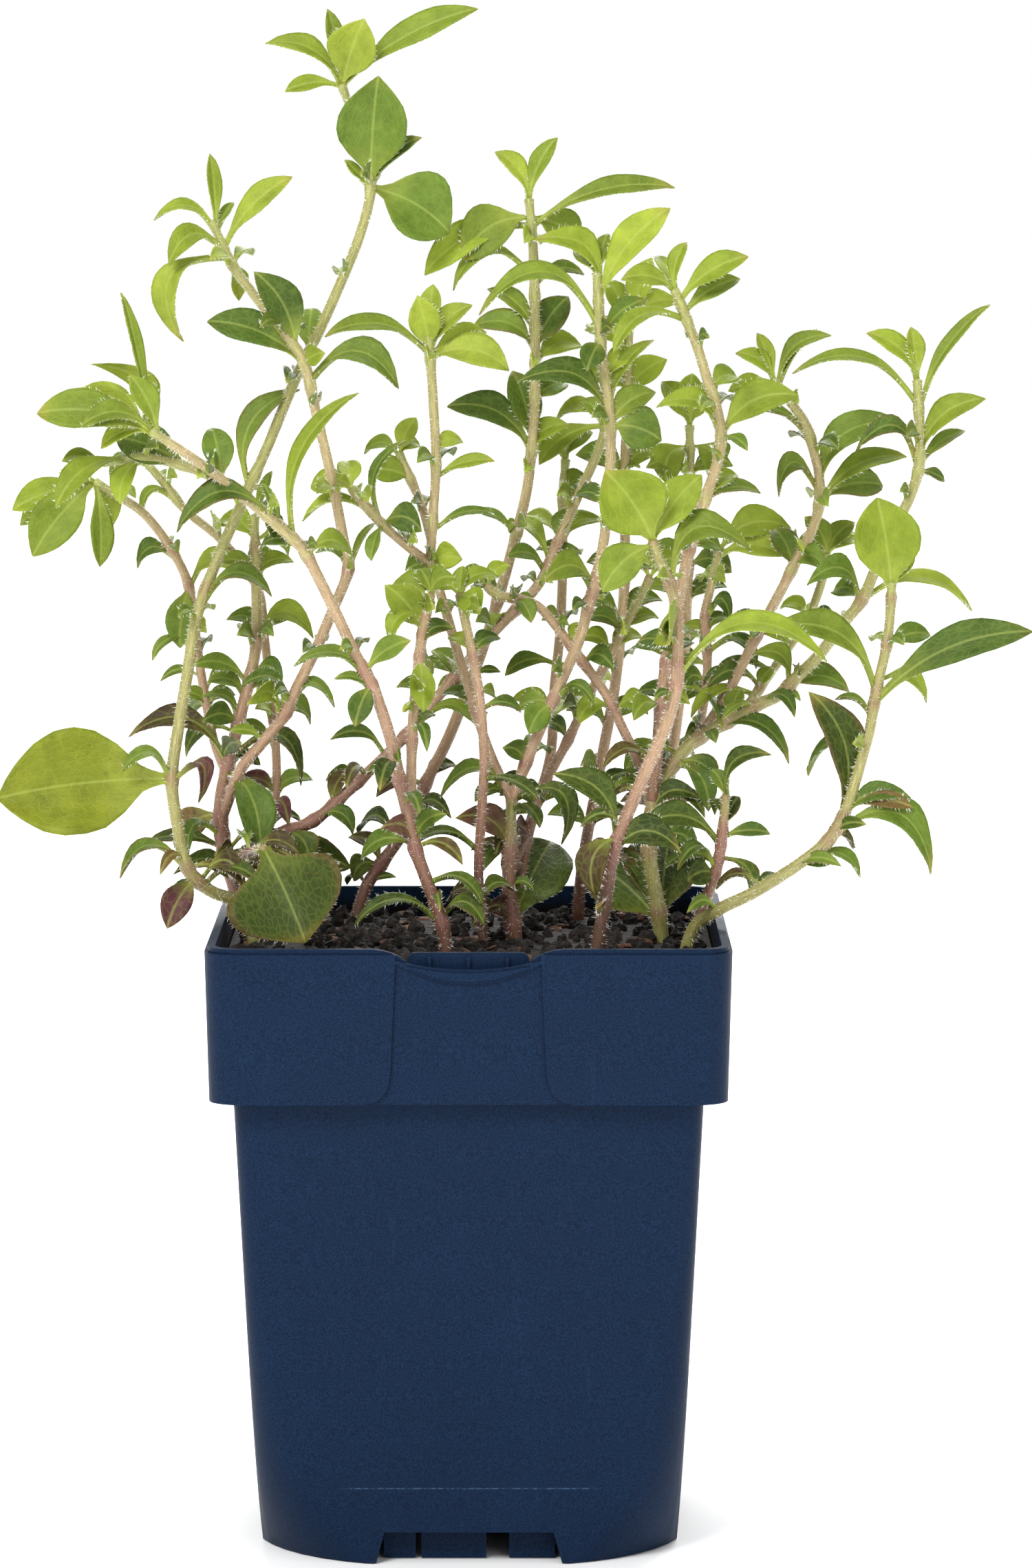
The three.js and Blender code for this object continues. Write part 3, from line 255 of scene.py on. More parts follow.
@dataclass
class Branch:
    """One branch, from its radii at foot and tip and three texts of rows.

    The path's rows are across, height and depth, as read in the plane through the pot's axis from the front.
    The leaves' rows are those of Leaf. The pairs' rows are first place, last place, step, length and width.
    """

    foot_radius: float
    tip_radius: float
    path_text: str
    leaf_text: str
    pair_text: str = ""

    def __post_init__(self) -> None:
        """Reads the rows."""
        self.path = np.array([placed(point) for point in rows_of(self.path_text)])
        self.leaves = [Leaf(*row) for row in rows_of(self.leaf_text)]
        self.blades: list[Blade] = []

    def small_pairs(self) -> list[Leaf]:
        """Returns the small pairs' leaves, each pair turned a quarter from the last."""
        leaves = []
        for first, last, step, length, width in rows_of(self.pair_text):
            for count in range(int((last - first) / step + 1.0001)):
                spread, depth, roll = (0.85, 0.2, 45) if count % 2 == 0 else (0.35, 0.8, 25)
                for sign in (-1, 1):
                    leaves.append(Leaf(first + count * step, sign * length * spread, length * 0.35,
                                       sign * length * depth, width, length * 0.22, roll))
        return leaves

    def undergrowth(self, rng: Draw) -> list[Leaf]:
        """Returns small leaves on the low part of a branch, where the plant is at its thickest."""
        leaves = []
        low = [i for i, point in enumerate(self.path[:-1]) if HABIT.thick_from < point[2] < HABIT.thick_to]
        for place in low:
            for _ in range(int(rng.integers(0, 3))):
                turn = rng.uniform(0, math.tau)
                length = rng.uniform(*HABIT.low_length)
                up = length * rng.uniform(-0.45, 0.45)
                leaves.append(Leaf(place + rng.uniform(0, 0.9), length * math.cos(turn), up,
                                   length * math.sin(turn), length * rng.uniform(*HABIT.low_slimness),
                                   length * rng.uniform(0.1, 0.4), rng.uniform(20, 75)))
        return leaves

    def cross_pairs(self, rng: Draw) -> list[Leaf]:
        """Returns short leaves that stand out to the front and back at every other node higher up."""
        leaves = []
        high = [i for i in range(1, len(self.path) - 1, 2) if self.path[i][2] >= HABIT.thick_to]
        for place in high:
            length = rng.uniform(*HABIT.high_length)
            lean = rng.uniform(-0.5, 0.5)
            for sign in (-1, 1):
                leaves.append(Leaf(place, sign * length * lean, length * rng.uniform(0, 0.3), sign * length,
                                   length * 0.36, length * 0.2, 30))
        return leaves

    def age_of(self, leaf: Leaf, root: Array, rng: Draw) -> LeafAge:
        """Chooses a leaf's age from its place: young at the tips, old and dull near the soil."""
        height = root[2]
        at_tip = leaf.place >= len(self.path) - 1 - HABIT.tip_places
        if leaf.width >= HABIT.basal_width:
            return LeafAge.OLD if leaf.across > 0 else LeafAge.YELLOW
        if leaf.width > HABIT.wide and height < HABIT.wide_old_below:
            return LeafAge.OLD
        if height < HABIT.dying_below and rng.random() < HABIT.dying:
            return LeafAge.DRIED if rng.random() < HABIT.dried else LeafAge.PURPLE
        if at_tip and height > HABIT.young_above:
            return LeafAge.YOUNG
        if height < HABIT.old_below:
            return LeafAge.OLD if rng.random() < HABIT.old else LeafAge.GROWN
        young = HABIT.young_large if leaf.width > HABIT.large else HABIT.young_small
        return LeafAge.YOUNG if rng.random() < young else LeafAge.GROWN


@dataclass
class LeafyStem:
    """One leafy stem with its branches, the same node as in the solids."""

    name: str
    branches: list[Branch]

    def __post_init__(self) -> None:
        """Spreads points over the stem, for keeping other stems' leaves off it."""
        self.stem_points = np.array([point_at(branch.path, place) for branch in self.branches
                                     for place in np.arange(0, len(branch.path) - 0.9, 0.2)])
        self.leaf_points = np.zeros((0, 3))

    def grow(self, branch: Branch, leaf: Leaf, others: list["LeafyStem"], rng: Draw) -> None:
        """Places a leaf at its own depth, or nearer or farther until it is clear, or leaves it out.

        Args:
            branch: The branch that it grows on.
            leaf: The leaf.
            others: The other stems.
            rng: The draw for its age.
        """
        root = point_at(branch.path, leaf.place)
        for nearer in ROOM.depth_trials:
            blade = Blade(root, np.array([leaf.across, leaf.back + nearer, leaf.up]), *leaf[4:])
            samples = blade.samples()
            if clear_of_pot(samples) and all(
                    clear_of(samples, other.stem_points, ROOM.from_stem)
                    and clear_of(samples, other.leaf_points, ROOM.from_leaf) for other in others):
                blade.age = branch.age_of(leaf, root, rng)
                branch.blades.append(blade)
                self.leaf_points = np.vstack([self.leaf_points, samples])
                return


# The plant as read in the photo. Each branch has its radii at foot and tip, then the rows of its path, of its
# leaves and, where it has them, of its small pairs.
PLANT = {
    "leafy_stem_left_outer": [
        Branch(1.12, 0.78, """
    -38 101 -6; -39 106 -7; -41.2 111.6 -8; -46.5 113.9 -11; -50.5 118 -13; -52.3 126 -13;
    -53.2 134 -12; -52 143 -9; -50.3 153 -6; -48.6 163 -3; -45 173 0; -40.6 183 3; -36 193 4;
    -31 205 4; -27 213 3; -22.5 223 2; -19.3 231 1; -17.5 239 0; -19 247 2; -22.5 257 3""", """
    6 -30.5 -3 -4 19 1 78; 6 -8.5 2 -5 3.6 4 25; 6 5 -4 -3 4 6 30; 4 -12 -1.5 -2 4 5 25;
    3.6 -5 -8.5 -5 5.5 1 80; 9.3 12.5 1 -3 4.4 4.5 35; 11.3 9 17.5 2 5 5 60; 13.6 0.5 8 6 5 1 80;
    17 1.5 19.5 -4 12.5 1 88; 17 14 -8 2 12.5 1.5 80; 17 9 9 -2 3.8 1.5 50; 17 -4.5 5 1 2.2 0 50;
    19 24 13.5 -2 5.4 2 60; 19 -13.5 7.5 1 4.4 3 50; 19 -2.5 13.5 2 3.4 0.5 65; 19 4 11.5 -5 9 0.5 86;
    19 -10 -1 -2 3.2 1 60; 19 3 4.5 4 3.4 0 60"""),
    ],
    "leafy_stem_left_cluster": [
        Branch(1.35, 0.85, """
    -38.5 101 6; -40.5 108 5; -41.7 113 5; -43 118 5; -44.3 124 5; -44.5 130 5; -43.2 136.5 6;
    -41.3 144 7; -39.2 152 8; -38 159 9; -38 170 10; -38.3 181 10""", """
    9 10.5 0.5 -4 5 5 45; 7 -6.5 5 0 2.6 2.5 40; 7 -6 1 -6 4.4 1.5 65; 6 -18 5 2 4.8 6 55;
    6.2 13 -5 -2 4.2 7 40; 5.8 6.5 -13 -10 7 4 70; 4 -6 -4 -6 3.4 5 30; 3.6 -14 1 2 3.6 1.5 40;
    11 3 8 2 2.6 0 40; 10.6 -7 3 6 5 2 60; 10.6 6 -3 4 4.5 2.5 50; 4.6 -9 -7 8 6 2 75;
    8 6 -1 -5 4 3 45; 3 13 2 -8 6 3 65; 3.4 22 -4 14 7 2 75""", """
    7.6 10 1.2 8 3.6"""),
        Branch(0.98, 0.78, """
    -44.3 127 5; -41 135.5 1; -37 140.5 -2; -32.8 145.8 -4; -31 150 -5; -27.5 157 -6; -24.5 164 -6;
    -21.6 171.5 -6; -22.5 177 -6; -24 185 -6; -25.5 192 -6; -27.4 200 -6; -29.3 208 -6; -33 213.5 -6;
    -38 220 -5; -42 225.5 -4; -45.5 233 -3""", """
    3.2 -8.5 4 -3 3.6 4 35; 3.2 8.5 0.5 -2 3 4.5 35; 12.4 -7 14 -4 7 2 72; 12 -17 7.5 -1 6.6 2 65;
    11.6 16 -1 -3 6.6 6 48; 12 3.5 2 -3 4 0.5 70; 15.8 -1 13.5 1 3 0.3 60; 15.8 -11 2 -1 3.2 3.4 40;
    15.4 12 12.5 0 4.8 1.5 60; 15.2 -8 -15 -3 6 7.5 55; 15.4 -9.5 -3 -6 4.8 4 55; 15 1 -6.5 6 3.6 2 60;
    15.8 3 5 3 2.4 0.3 50; 7 4.5 8 3 1.8 1 40; 7 -6 3 2 3 2 40"""),
        Branch(0.78, 0.75, """
    -42.7 117 6; -38 120 12; -36.2 124 15; -34.7 131 17; -34.6 139 18; -35.6 150 19; -36.6 160 20;
    -37.5 167.5 20; -41 173 19; -45 177.5 18; -50.5 182 17; -54 186.5 16; -57 190 15""", """
    10.4 -6.5 -2.5 -2 2.6 3.5 35; 12 -7 -3 0 4.6 2 60; 12 -6 6 2 4.2 1.5 55; 12 3 5 3 3.4 1 50;
    7.6 5.5 3 2 4 2 50; 4.6 7 -2 2 4.4 3 50""", """
    3 6 1.5 8 3.8"""),
        Branch(0.78, 0.78, """
    -43.6 135 6; -45.7 141 9; -47.6 151 12; -48.8 160 14; -50 168.5 15; -53 175 14; -57.5 181 12;
    -62 184.3 10; -66.5 187 8""", """
    4 -1.5 -11 -3 5.6 1 85; 4 10.5 2 -1 4.8 4 50; 4.8 -7 -2 0 4 2.8 45; 8 -15 -5 1 5.6 1 62;
    8 -11 -13 -4 8.6 1 80; 8 1 -15 -3 4.6 2 62; 8 -14 -8 5 5 1 65; 8 -6 2 -5 3.2 1 60;
    8 3 -8 4 4 1.5 60""", """
    1.6 2.6 1 6 3"""),
        Branch(1.05, 0.78, """
    -43 119 5; -36 123.5 8; -28 126.5 10; -20 133.5 12; -11.5 141.8 14; -3 152 15; 4 160 16;
    12 168.5 17; 15.5 176 18; 19 184 18; 23 193 17; 24 197 16""", """
    11 -12 -7 -3 4.8 2 60; 11 -4.5 4.5 2 3.6 1 60; 11 -9 1 3 4 3 45; 4.2 12 -1 -2 3.2 4 35;
    2.1 6.5 -3 -2 3.6 2.5 45; 2.4 3.5 6.5 2 3.4 1 60; 7.6 -7.5 6 -1 4.4 3 50; 8 3.5 6 3 3.8 1.5 55;
    1.4 4 -6 -3 5 2 70; 5 -4 5 2 4 1.5 55; 6.4 5 1 -3 3.6 2 50; 3 -6 0 3 3.2 1.5 45""", """
    4.6 9 1.4 8 3.6"""),
        Branch(0.92, 0.78, """
    -42.4 116 5; -40.6 120.3 -6; -36.8 121.4 -19""", """
    2 7.5 -15.5 -8 21.5 0.5 88"""),
    ],
    "leafy_stem_front_left": [
        Branch(1.12, 0.78, """
    -4 101 -20; -5 108 -20; -7.5 115 -20; -9.8 121.5 -20; -11 127 -20; -12.5 133.5 -20; -14 140.5 -20;
    -16 147 -20; -17.6 151 -20; -20.5 156.5 -20; -24 164 -20; -29 174 -20; -31.5 177 -20; -36 181 -19;
    -41 185 -18; -46 188 -17; -51 190 -16; -58 191.3 -14; -65 190.5 -12""", """
    17.5 -5 17 -4 5.6 9 50; 18 -7 0.5 -4 3 1 60; 17.4 -12 -8 -8 5 3 60; 17 -4 -8 -2 4.4 1.5 65;
    15.8 -13 5 6 7.5 1 76; 12.6 -17.5 -1 -3 5.2 6.5 50; 12 11.5 25.5 -2 3.8 5 50;
    12.4 -3.5 8 2 2 0.3 50; 14.6 -2 9.5 5 5.6 1 78; 8 -13.5 3.5 -2 3.6 3.8 30; 8 -2.8 -7 -4 4.4 0.6 85;
    8.4 8 6 -6 4.2 1 60; 11 8 -1 4 4.4 3 50; 11.2 -8 0.5 5 4 2 50; 3 5.5 6.5 -3 3.6 2 55;
    3 -6 4 -3 4.2 2.5 60; 1 -15.5 0 -3 3.4 4.5 30; 1.2 8 -1.5 -4 4.4 3.5 45; 1 -12 -4 6 3.4 3.5 40;
    5 -6 1 4 3 2 45; 13.2 2.5 -5 3 3.8 1 60"""),
        Branch(0.92, 0.78, """
    -9.8 121.5 -20; -10.3 128 -17; -10.5 135 -15; -10 147 -13; -9 156 -12; -8 163 -12; -7 167 -12""", """
    4.6 -6.5 8.5 -2 6 1 82; 5 -6 -4.5 -3 3.8 3 50; 5.6 -7 2.5 2 5 2 55; 6 4.5 3 -2 4.2 1.5 55;
    6 -2 4.5 2 3.6 0.5 60; 4 0.8 -9.5 -4 4.6 0.5 84; 4.2 6 3.5 3 3.6 2 50; 2.6 4 3 3 3.2 1.5 50"""),
        Branch(0.85, 0.78, """
    -41 185 -18; -46 189 -22; -51 192.5 -24; -56.5 196 -25""", """
    3 -5 24 1 2.8 0.5 40; 2.8 -4.5 10.5 -3 4.8 1 65; 3 -14 6 6 8 1 78; 3 -20 3 3 7.6 2 72;
    3 -12 1 -3 4.6 3 50; 3 -9 -3 2 4 1.5 55"""),
    ],
    "leafy_stem_back_left": [
        Branch(1.12, 0.78, """
    -22 102.5 22; -19 113.5 23; -16 118.5 24; -12.5 123.5 25; -9.3 129 25; -8 133 25; -4 141 25;
    -1 148.5 25; 2 156.5 24; 5 166 22; 6.7 172 20; 8.3 178 18; 9.8 184 15; 10.6 189 13; 11.3 197 11;
    11.6 208 9; 11.5 220 8; 11.2 229 7; 10.5 237 7""", """
    18 -6 8.5 1 4.2 1.5 60; 18 5 11 1 3.8 1 65; 17.6 -12 -7.5 -6 8.8 2.5 78; 17.4 -19 -8.5 -2 6.4 3 68;
    17.4 25.5 7 0 4.2 3 50; 17.6 9.5 -4.5 4 6.4 1 75; 16.4 -14.5 -2.5 -3 3.8 6 50; 16.2 9 2 2 3.2 2 50;
    15.2 -11.5 4 1 5.2 3 55; 15.4 -8.5 8.5 4 4 2 60; 15.2 6 9.5 3 6.2 1 78; 15 8.5 3 5 5 2 60;
    13.4 -15 8.5 -2 6.4 3.5 62; 13.6 -3.5 13 4 6 1 76; 13.4 7 5 3 4.2 2 55; 11 -8 4 2 2.4 1 40;
    5 -9 -2 -2 3.6 2 45; 5 6 3 3 3.4 2 50; 9 -5 2 4 3.6 2 50; 2 -6 5 2 3.6 2 55; 2 -5 -3 -4 4.4 2 70;
    14.4 6 3 5 4.6 1 60"""),
    ],
    "leafy_stem_pale_middle": [
        Branch(0.85, 0.78, """
    2.5 101.5 -8; 2 110 -8; 1.5 118 -8; 2.2 130 -8; 2.5 138 -8; 1.8 148 -8; 0.5 156 -8; -1 163 -8;
    -1.8 167 -8""", """
    8 -8 1 -2 5 2 60; 8 0.5 5 2 3.2 0.3 60; 8 7 3 2 3.4 2 50; 8 3.5 -3 -5 5.2 1 78; 6 5 3 3 3.6 1.5 50;
    6 -4.5 3 3 3.2 1.5 50; 1.2 6 2 4 3.4 2.5 45; 1.2 -6 0 4 3.2 2.5 45"""),
    ],
    "leafy_stem_middle_fork": [
        Branch(1.35, 1.05, """
    8.5 101.5 0; 7.6 108 0; 7 113 0; 7 121 0; 7.5 130.5 0""", """
    4 -13 0.5 -3 4 5.5 35; 4 -10 4 4 3.4 3 40; 4 9 -8 -3 5 7 50; 4 6 -1 5 3.4 2 45;
    3 -9.5 6.5 -4 5.6 3 62; 1.4 7.5 -5 -5 3.8 9 40; 1.4 -7 -2 -5 3.6 2.5 45; 1 7 13 16 13 1 82;
    1 -5 3 -8 4 2 60"""),
        Branch(0.85, 0.78, """
    7.5 130 0; 4 137.5 0; 2 143 1; 0 149.5 1; -2 156 1; -4 163 1; -5.5 168 1; -6.9 172.5 0; -6.6 180 0;
    -6 190 0; -6.4 200 0; -7 209 0; -7.5 214 0""", """
    11.2 -2 10 -4 5.8 0.5 86; 11.6 0.8 10 2 4.2 0.3 75; 11.2 7.5 8.5 -1 4.4 1.5 55;
    11 14 -2 -3 6.6 2.6 62; 11.2 -18.5 3 1 4.2 3.6 40; 11 10 4.5 4 4.4 1.5 55; 7 -4.5 -1 -6 4.8 0.5 84;
    7 5.5 1 -3 5 1 75; 7.8 11 3 2 2.2 1.5 40; 8.8 10.5 3 -2 3 1 45; 9.2 5 2 2 3.4 1.5 55;
    2.6 -6 2 3 3 1.5 45"""),
        Branch(0.78, 0.75, """
    -6.9 172.5 0; -11 175.5 -2; -15.5 179.5 -3; -19.5 184 -4; -21 186 -4""", """
    4 -7.5 0 1 5 1 65; 4 -1 4.5 -2 4.4 0.5 76; 2.4 -13 -1.5 -2 3.2 3.4 35; 2 7 -1 -3 5.4 2 75;
    2.2 5 14 2 2.6 3.5 45; 2 -2 -6 2 3 1 50"""),
        Branch(0.78, 0.75, """
    -6.7 176 0; -8.3 182 4; -10.5 187.5 7; -12.5 192 9""", """
    2 -7.5 1.5 -2 5.2 1 68; 3 -6.5 0 2 3.6 2 45; 3 3 6.5 1 4 0.5 70; 3 4 1 3 3.6 1.5 55"""),
        Branch(0.98, 0.78, """
    7.5 130 0; 10 137 0; 13.2 144.5 0; 16.5 152 0; 19.5 159 0; 21 164.5 0; 22.5 170 0; 24 178 0;
    24.8 188 0; 25 197 0; 24 205 0; 23.2 212 0; 22.8 219 0; 22.5 224 0""", """
    12 12.5 16.5 -2 6.6 2 66; 12 -11.5 11 -2 5.6 5.5 55; 11.4 -21.5 2 -2 4.8 8.5 45;
    13 2 7 4 3.8 0.5 60; 13 -4 4 4 3.6 0.5 55; 11 8 7.5 -4 4 1.5 60; 11 -2.5 -5 -5 4.6 0.5 80;
    9 -16.5 8 -4 5.8 5.5 50; 9 9 -2.5 -2 8 1 78; 9 8 6 1 5.2 1.5 62; 9.4 8 12 3 3.2 2 50;
    5.6 -8 3 -3 3 2.5 40; 5.8 -9 1 -5 5.6 3 60; 5.2 11.5 6 2 3 2.5 40; 2.4 -4 -5 -4 5 1 84;
    2.4 -6 -1 2 3.8 1 60; 1 -4 3 -4 3.8 1 65; 7.4 5 3 4 4 2 55; 7.4 -6 2 4 4 2 55; 10 6 5 5 4.4 1.5 60"""),
        Branch(0.85, 0.78, """
    8.2 106 1; 9.5 119 8; 12.5 131 11; 17.5 141 12; 22 150.5 12; 27 160 11; 32 170 9""", """
    3 -5 2.5 4 3.4 1.5 50; 4.6 6 3 3 4 2 55; 4.6 -6 3 -2 3.8 2 50; 6 -6 4 3 4.4 1.5 60;
    6 6 3 4 4.4 1.5 60""", """
    1.8 5 1.6 8 3.8"""),
        Branch(0.92, 0.78, """
    7.2 117 0; 11 127 12; 14.3 138 19; 15 150 23; 16 160 25; 16.5 172 26; 16.5 184 26; 17 191 26""", """
    7 -3 7 -2 5 0.5 75; 7 5 5 1 4.4 1.5 60; 7 -6 1 2 4.4 2 55; 6 5.5 3 -3 4.6 2 60; 5 -5 3 2 4 2 50""", """
    2.6 5.4 1.4 9 4"""),
    ],
    "leafy_stem_front_right": [
        Branch(1.2, 0.85, """
    22.5 101.5 -26; 23.5 108 -26; 24.6 115 -26; 25.2 120 -26; 27 125 -26; 29.5 131 -26; 32.5 138 -26;
    35.3 144.5 -26; 36.8 151 -26; 37 158 -26; 36.8 164 -25; 35.5 169 -24; 33.5 173.5 -24;
    32.5 176.5 -24""", """
    12.8 -8.5 13 -4 12.6 1 86; 13 8.5 11.5 1 7.2 1 78; 12.8 -9 -8 -3 7.2 1.5 76;
    11 14.5 5.5 -2 6.6 7.5 52; 10.2 -1.5 -6 -9 9 1 10; 8.2 26 3 -4 5.4 8 42; 3.5 -11 12.5 -3 5.8 4 58;
    3.1 12 0.5 -2 6 4 60; 3.7 -4 -10 -4 5.8 4 74; 8.6 -7 3 3 4.2 2 55"""),
    ],
    "leafy_stem_right_cluster": [
        Branch(1.35, 1.12, """
    34.5 101.5 2; 33.7 110 2; 32.3 118 2; 31.8 124 2; 32.5 130 2""", """
    0.8 2 13.5 14 15 1 82; 0.8 -12 10 8 12 1 80; 2.6 9 -3 3 5 4 50; 2.6 -7 -1 3 4.4 4 50;
    4 -8 1 3 4.6 3 50; 3.6 9 3 -2 4.2 3 50"""),
        Branch(1.05, 0.78, """
    32.4 129.5 2; 33.3 138 1; 34 147 0; 35 155 -2; 36.8 164 -4; 39 175 -5; 41.8 184 -5; 43.8 190 -5;
    44.6 195 -5; 43.8 200 -5; 42 205.5 -5; 40.3 211 -5; 38.3 216 -5; 36.3 221 -5""", """
    13 2 8.5 1 3.4 1 55; 13 -9.5 2 -2 4.4 1.5 55; 12.6 12 8 -2 5.2 1.5 60; 12.2 10 6 3 4.4 1 60;
    12 -13 -6 -2 4.2 4 45; 13 -3 6 3 3.4 0.5 55; 8 13.5 7.5 -3 6.8 3 62; 8 -11.5 5.5 -2 4.6 4 48;
    8 4.5 -2 -5 2.4 1 50; 6 10 1 3 3.4 1.5 45; 6 6 4 5 4.2 1.5 60; 5.6 -6 3 2 4 2 55; 5 6 -1 4 4 2 55;
    3 -6 2 4 3.6 2 50; 3 5 3 5 3.6 1.5 50; 2 -5 -2 -5 3.8 2 55; 2 5 1 -5 3.8 2 55; 9.6 5 2 5 4.4 1.5 60"""),
        Branch(0.85, 0.78, """
    32.4 129.5 2; 30 137 4; 27 143.5 5; 24 149.5 6; 20 155 6.5; 16 160.5 7; 12 165 7; 8 166.3 6;
    5 166.8 5; 3 168.5 5""", """
    2.6 -6 -3 -3 3.8 2 60; 2.4 6 0 -3 4 2.5 60; 4 5.5 -1 -4 3.8 2 60; 4.4 2 5 -3 3.4 1 55;
    7 3 -4 -4 3.6 1 60; 9 4 4 -2 3.4 1 55; 9 -5 2.5 -3 3.6 1 55"""),
        Branch(1.2, 0.78, """
    32.4 129 2; 35 134.5 4; 37.5 138.3 5; 41 141.5 6; 46 144.3 6; 50.5 147 6; 55 149 6; 58.5 152.5 5;
    62 156 4; 66 161.3 3; 69.7 166 2; 72.3 172 1; 75 178 0; 78 184 0; 79.6 189 0; 79.9 194 0;
    79.6 200 0; 79.3 205 0""", """
    16.2 -22.5 5.5 -2 3 5.5 40; 17 -9 8.5 0 4.4 2 62; 17 -1 9.5 2 3.8 0.3 65; 16 12.5 18.5 1 3.2 2 45;
    14.4 11.5 11 -2 5.2 3 58; 14.2 8.5 6 4 3.2 1 50; 14 5 -2 3 2.4 0.5 50; 14.2 -11.5 2.5 -2 4 6 52;
    10 20 -2 3 4 5 40; 10 -10 3 -3 5 4.5 52; 10 -5 1 6 4.4 1.5 60; 6.6 -7 5.5 -2 4.2 3 50;
    6.4 11.5 -1 2 5 2.5 55; 5.2 6.5 -2 -3 3 3 45; 3.2 15 -5 -3 4.2 5 42; 4.2 1.5 5 2 3.8 1 60;
    1.6 7 -5 -3 4.4 3 55; 1.6 6 -8 -6 4.4 3 65"""),
        Branch(0.92, 0.78, """
    40.8 141.3 6; 44.5 147 10; 47.5 152.5 11; 51 159.5 11; 55.5 168 11; 58.5 174 11; 61 179 11;
    62 183 11; 62 188 11; 61 192.5 10; 59.7 197 9; 57 201 8; 54 205 7""", """
    12 -7 5 -1 3.8 1.5 58; 12 -3 8.5 1 3.2 0.3 60; 11.8 9.5 9 0 3.8 3 45; 11.8 7 10 3 2.2 1 40;
    11.6 -9.5 0 -3 4 1 60; 7.2 15.5 13.5 -2 6.8 6 58; 7 16 8.5 4 4.8 3 55; 7.6 -7.5 -1.5 -2 4.4 5.5 52;
    9.6 -13 4.5 -2 2.6 2.5 40; 7.2 12 2 8 6 1.5 72; 4.6 -3 7 4 5 1 74; 4.6 6 0 -3 4.4 2.5 55;
    3 -5 3 3 3.8 2 50; 3 6 -2 3 4.2 2 55"""),
        Branch(0.78, 0.75, """
    40.6 141.2 6; 41.4 146 14; 42.2 151 17; 42.2 157 18; 41.8 163 19; 43 169 20; 44.3 175 20""", """
    6 -5 2.5 -1 4.2 1 60; 6 5.5 2.5 1 3 1 50; 6 13 4 -2 6.4 3 62; 5.8 12 0.5 -5 5 2 55;
    3 9 -3 -3 3.6 4 40; 3.4 5 3 2 3 2 45; 3.2 -4.5 3 2 3.4 1.5 50; 4 4.5 -1 -3 3.4 4 50;
    2 -4 -1 3 3.6 2 55"""),
        Branch(0.78, 0.75, """
    48 145.3 6; 51.5 150 13; 56 156.5 18; 60 162.5 20; 62.5 169 20; 63.5 174 20""", """
    5 -4 7 1 4.6 1 65; 5 5 6 1 4.4 1 60; 5 -6 1 3 4 2 50; 5 7 2 3 4 2 55; 3 -5 2 2 3.6 2 50;
    3 5 -2 3 3.6 2 50; 1 2.5 4 2 3 0.5 60"""),
    ],
    "leafy_stem_right_outer": [
        Branch(1.12, 0.78, """
    38 101 -12; 40.2 107.4 -13; 45 110.8 -15; 50 113.2 -16; 55 116.2 -17; 60 119.6 -18; 64 123 -18;
    66.5 127 -18; 68.3 132 -18; 70 138 -17; 71.3 143 -16; 72 147.5 -15; 73 152.5 -14; 74.2 158 -13;
    74.8 164 -12; 75 169 -12""", """
    14.6 -2.5 17 1 12 0.5 86; 14.8 3.5 8 3 5 0.5 74; 11 27.5 13 -3 7.2 3.5 66;
    11.4 -19 11.5 -3 6.2 5.5 52; 13 8 1.5 4 4.2 1 60; 6.6 -5 24 -3 8 5 64; 6.8 12.5 4.5 -1 4 3 52;
    6.2 17.5 -6.5 -3 6.6 8 52"""),
        Branch(0.92, 0.78, """
    39.4 105 -12.5; 41.6 111 -12; 43.8 117 -11; 44.8 122 -11; 45.3 127 -11; 45.6 131 -11""", """
    5 8 7.5 -1 3.8 3.5 52; 5 -2.5 4.5 2 3.2 0.5 60; 3 -15 3 -2 5.4 4 56; 3.6 3 5.5 4 3.4 0.5 60;
    2.6 5.5 -8 1 3.4 3 50; 2 -5 -1 -3 5 1 76"""),
    ],
    "leafy_stem_back_middle": [
        Branch(1.05, 0.78, """
    19 103.5 31; 20 118 31; 23 135 31; 26 152 31; 27.5 170 31; 27.5 188 31; 28 203 30; 28.3 215 28""", """
    7 4 12 1 5 0.5 70; 7 -4 8 2 5 0.5 70; 7 9 4 0 4.6 2 60; 6.6 -8 4 -2 5.2 2 60; 6 7 6 -2 5.4 1 72;
    6 -8 3 -1 5.4 2 65; 5 7 5 1 5 2 60; 5 -9 4 1 5.2 2 62; 4 7 3 0 4.8 2 60; 4 -7 3 -1 4.6 2 58""", """
    1.4 3.6 0.55 9 4.4"""),
    ],
    "leafy_stem_back_right": [
        Branch(1.05, 0.78, """
    29.5 103.5 30; 33 120 31; 36 138 32; 38 155 32; 38.8 172 31; 39 188 30; 39 197 29""", """
    6 -5 8 -1 5.2 1 70; 6 5 8 -1 5.2 1 70; 5.6 -4 -7 1 6.4 3 74; 5.6 4 -6 1 6.4 3 74;
    6 0.5 9.5 3 5 0.5 72; 5 -8 2 -1 4.6 2 58; 5 8 2 0 4.6 2 58; 4 8 -1 -1 5.6 2 62; 4 -8 2 0 4.6 2 60""", """
    1.4 3.6 0.55 9 4.4"""),
    ],
}


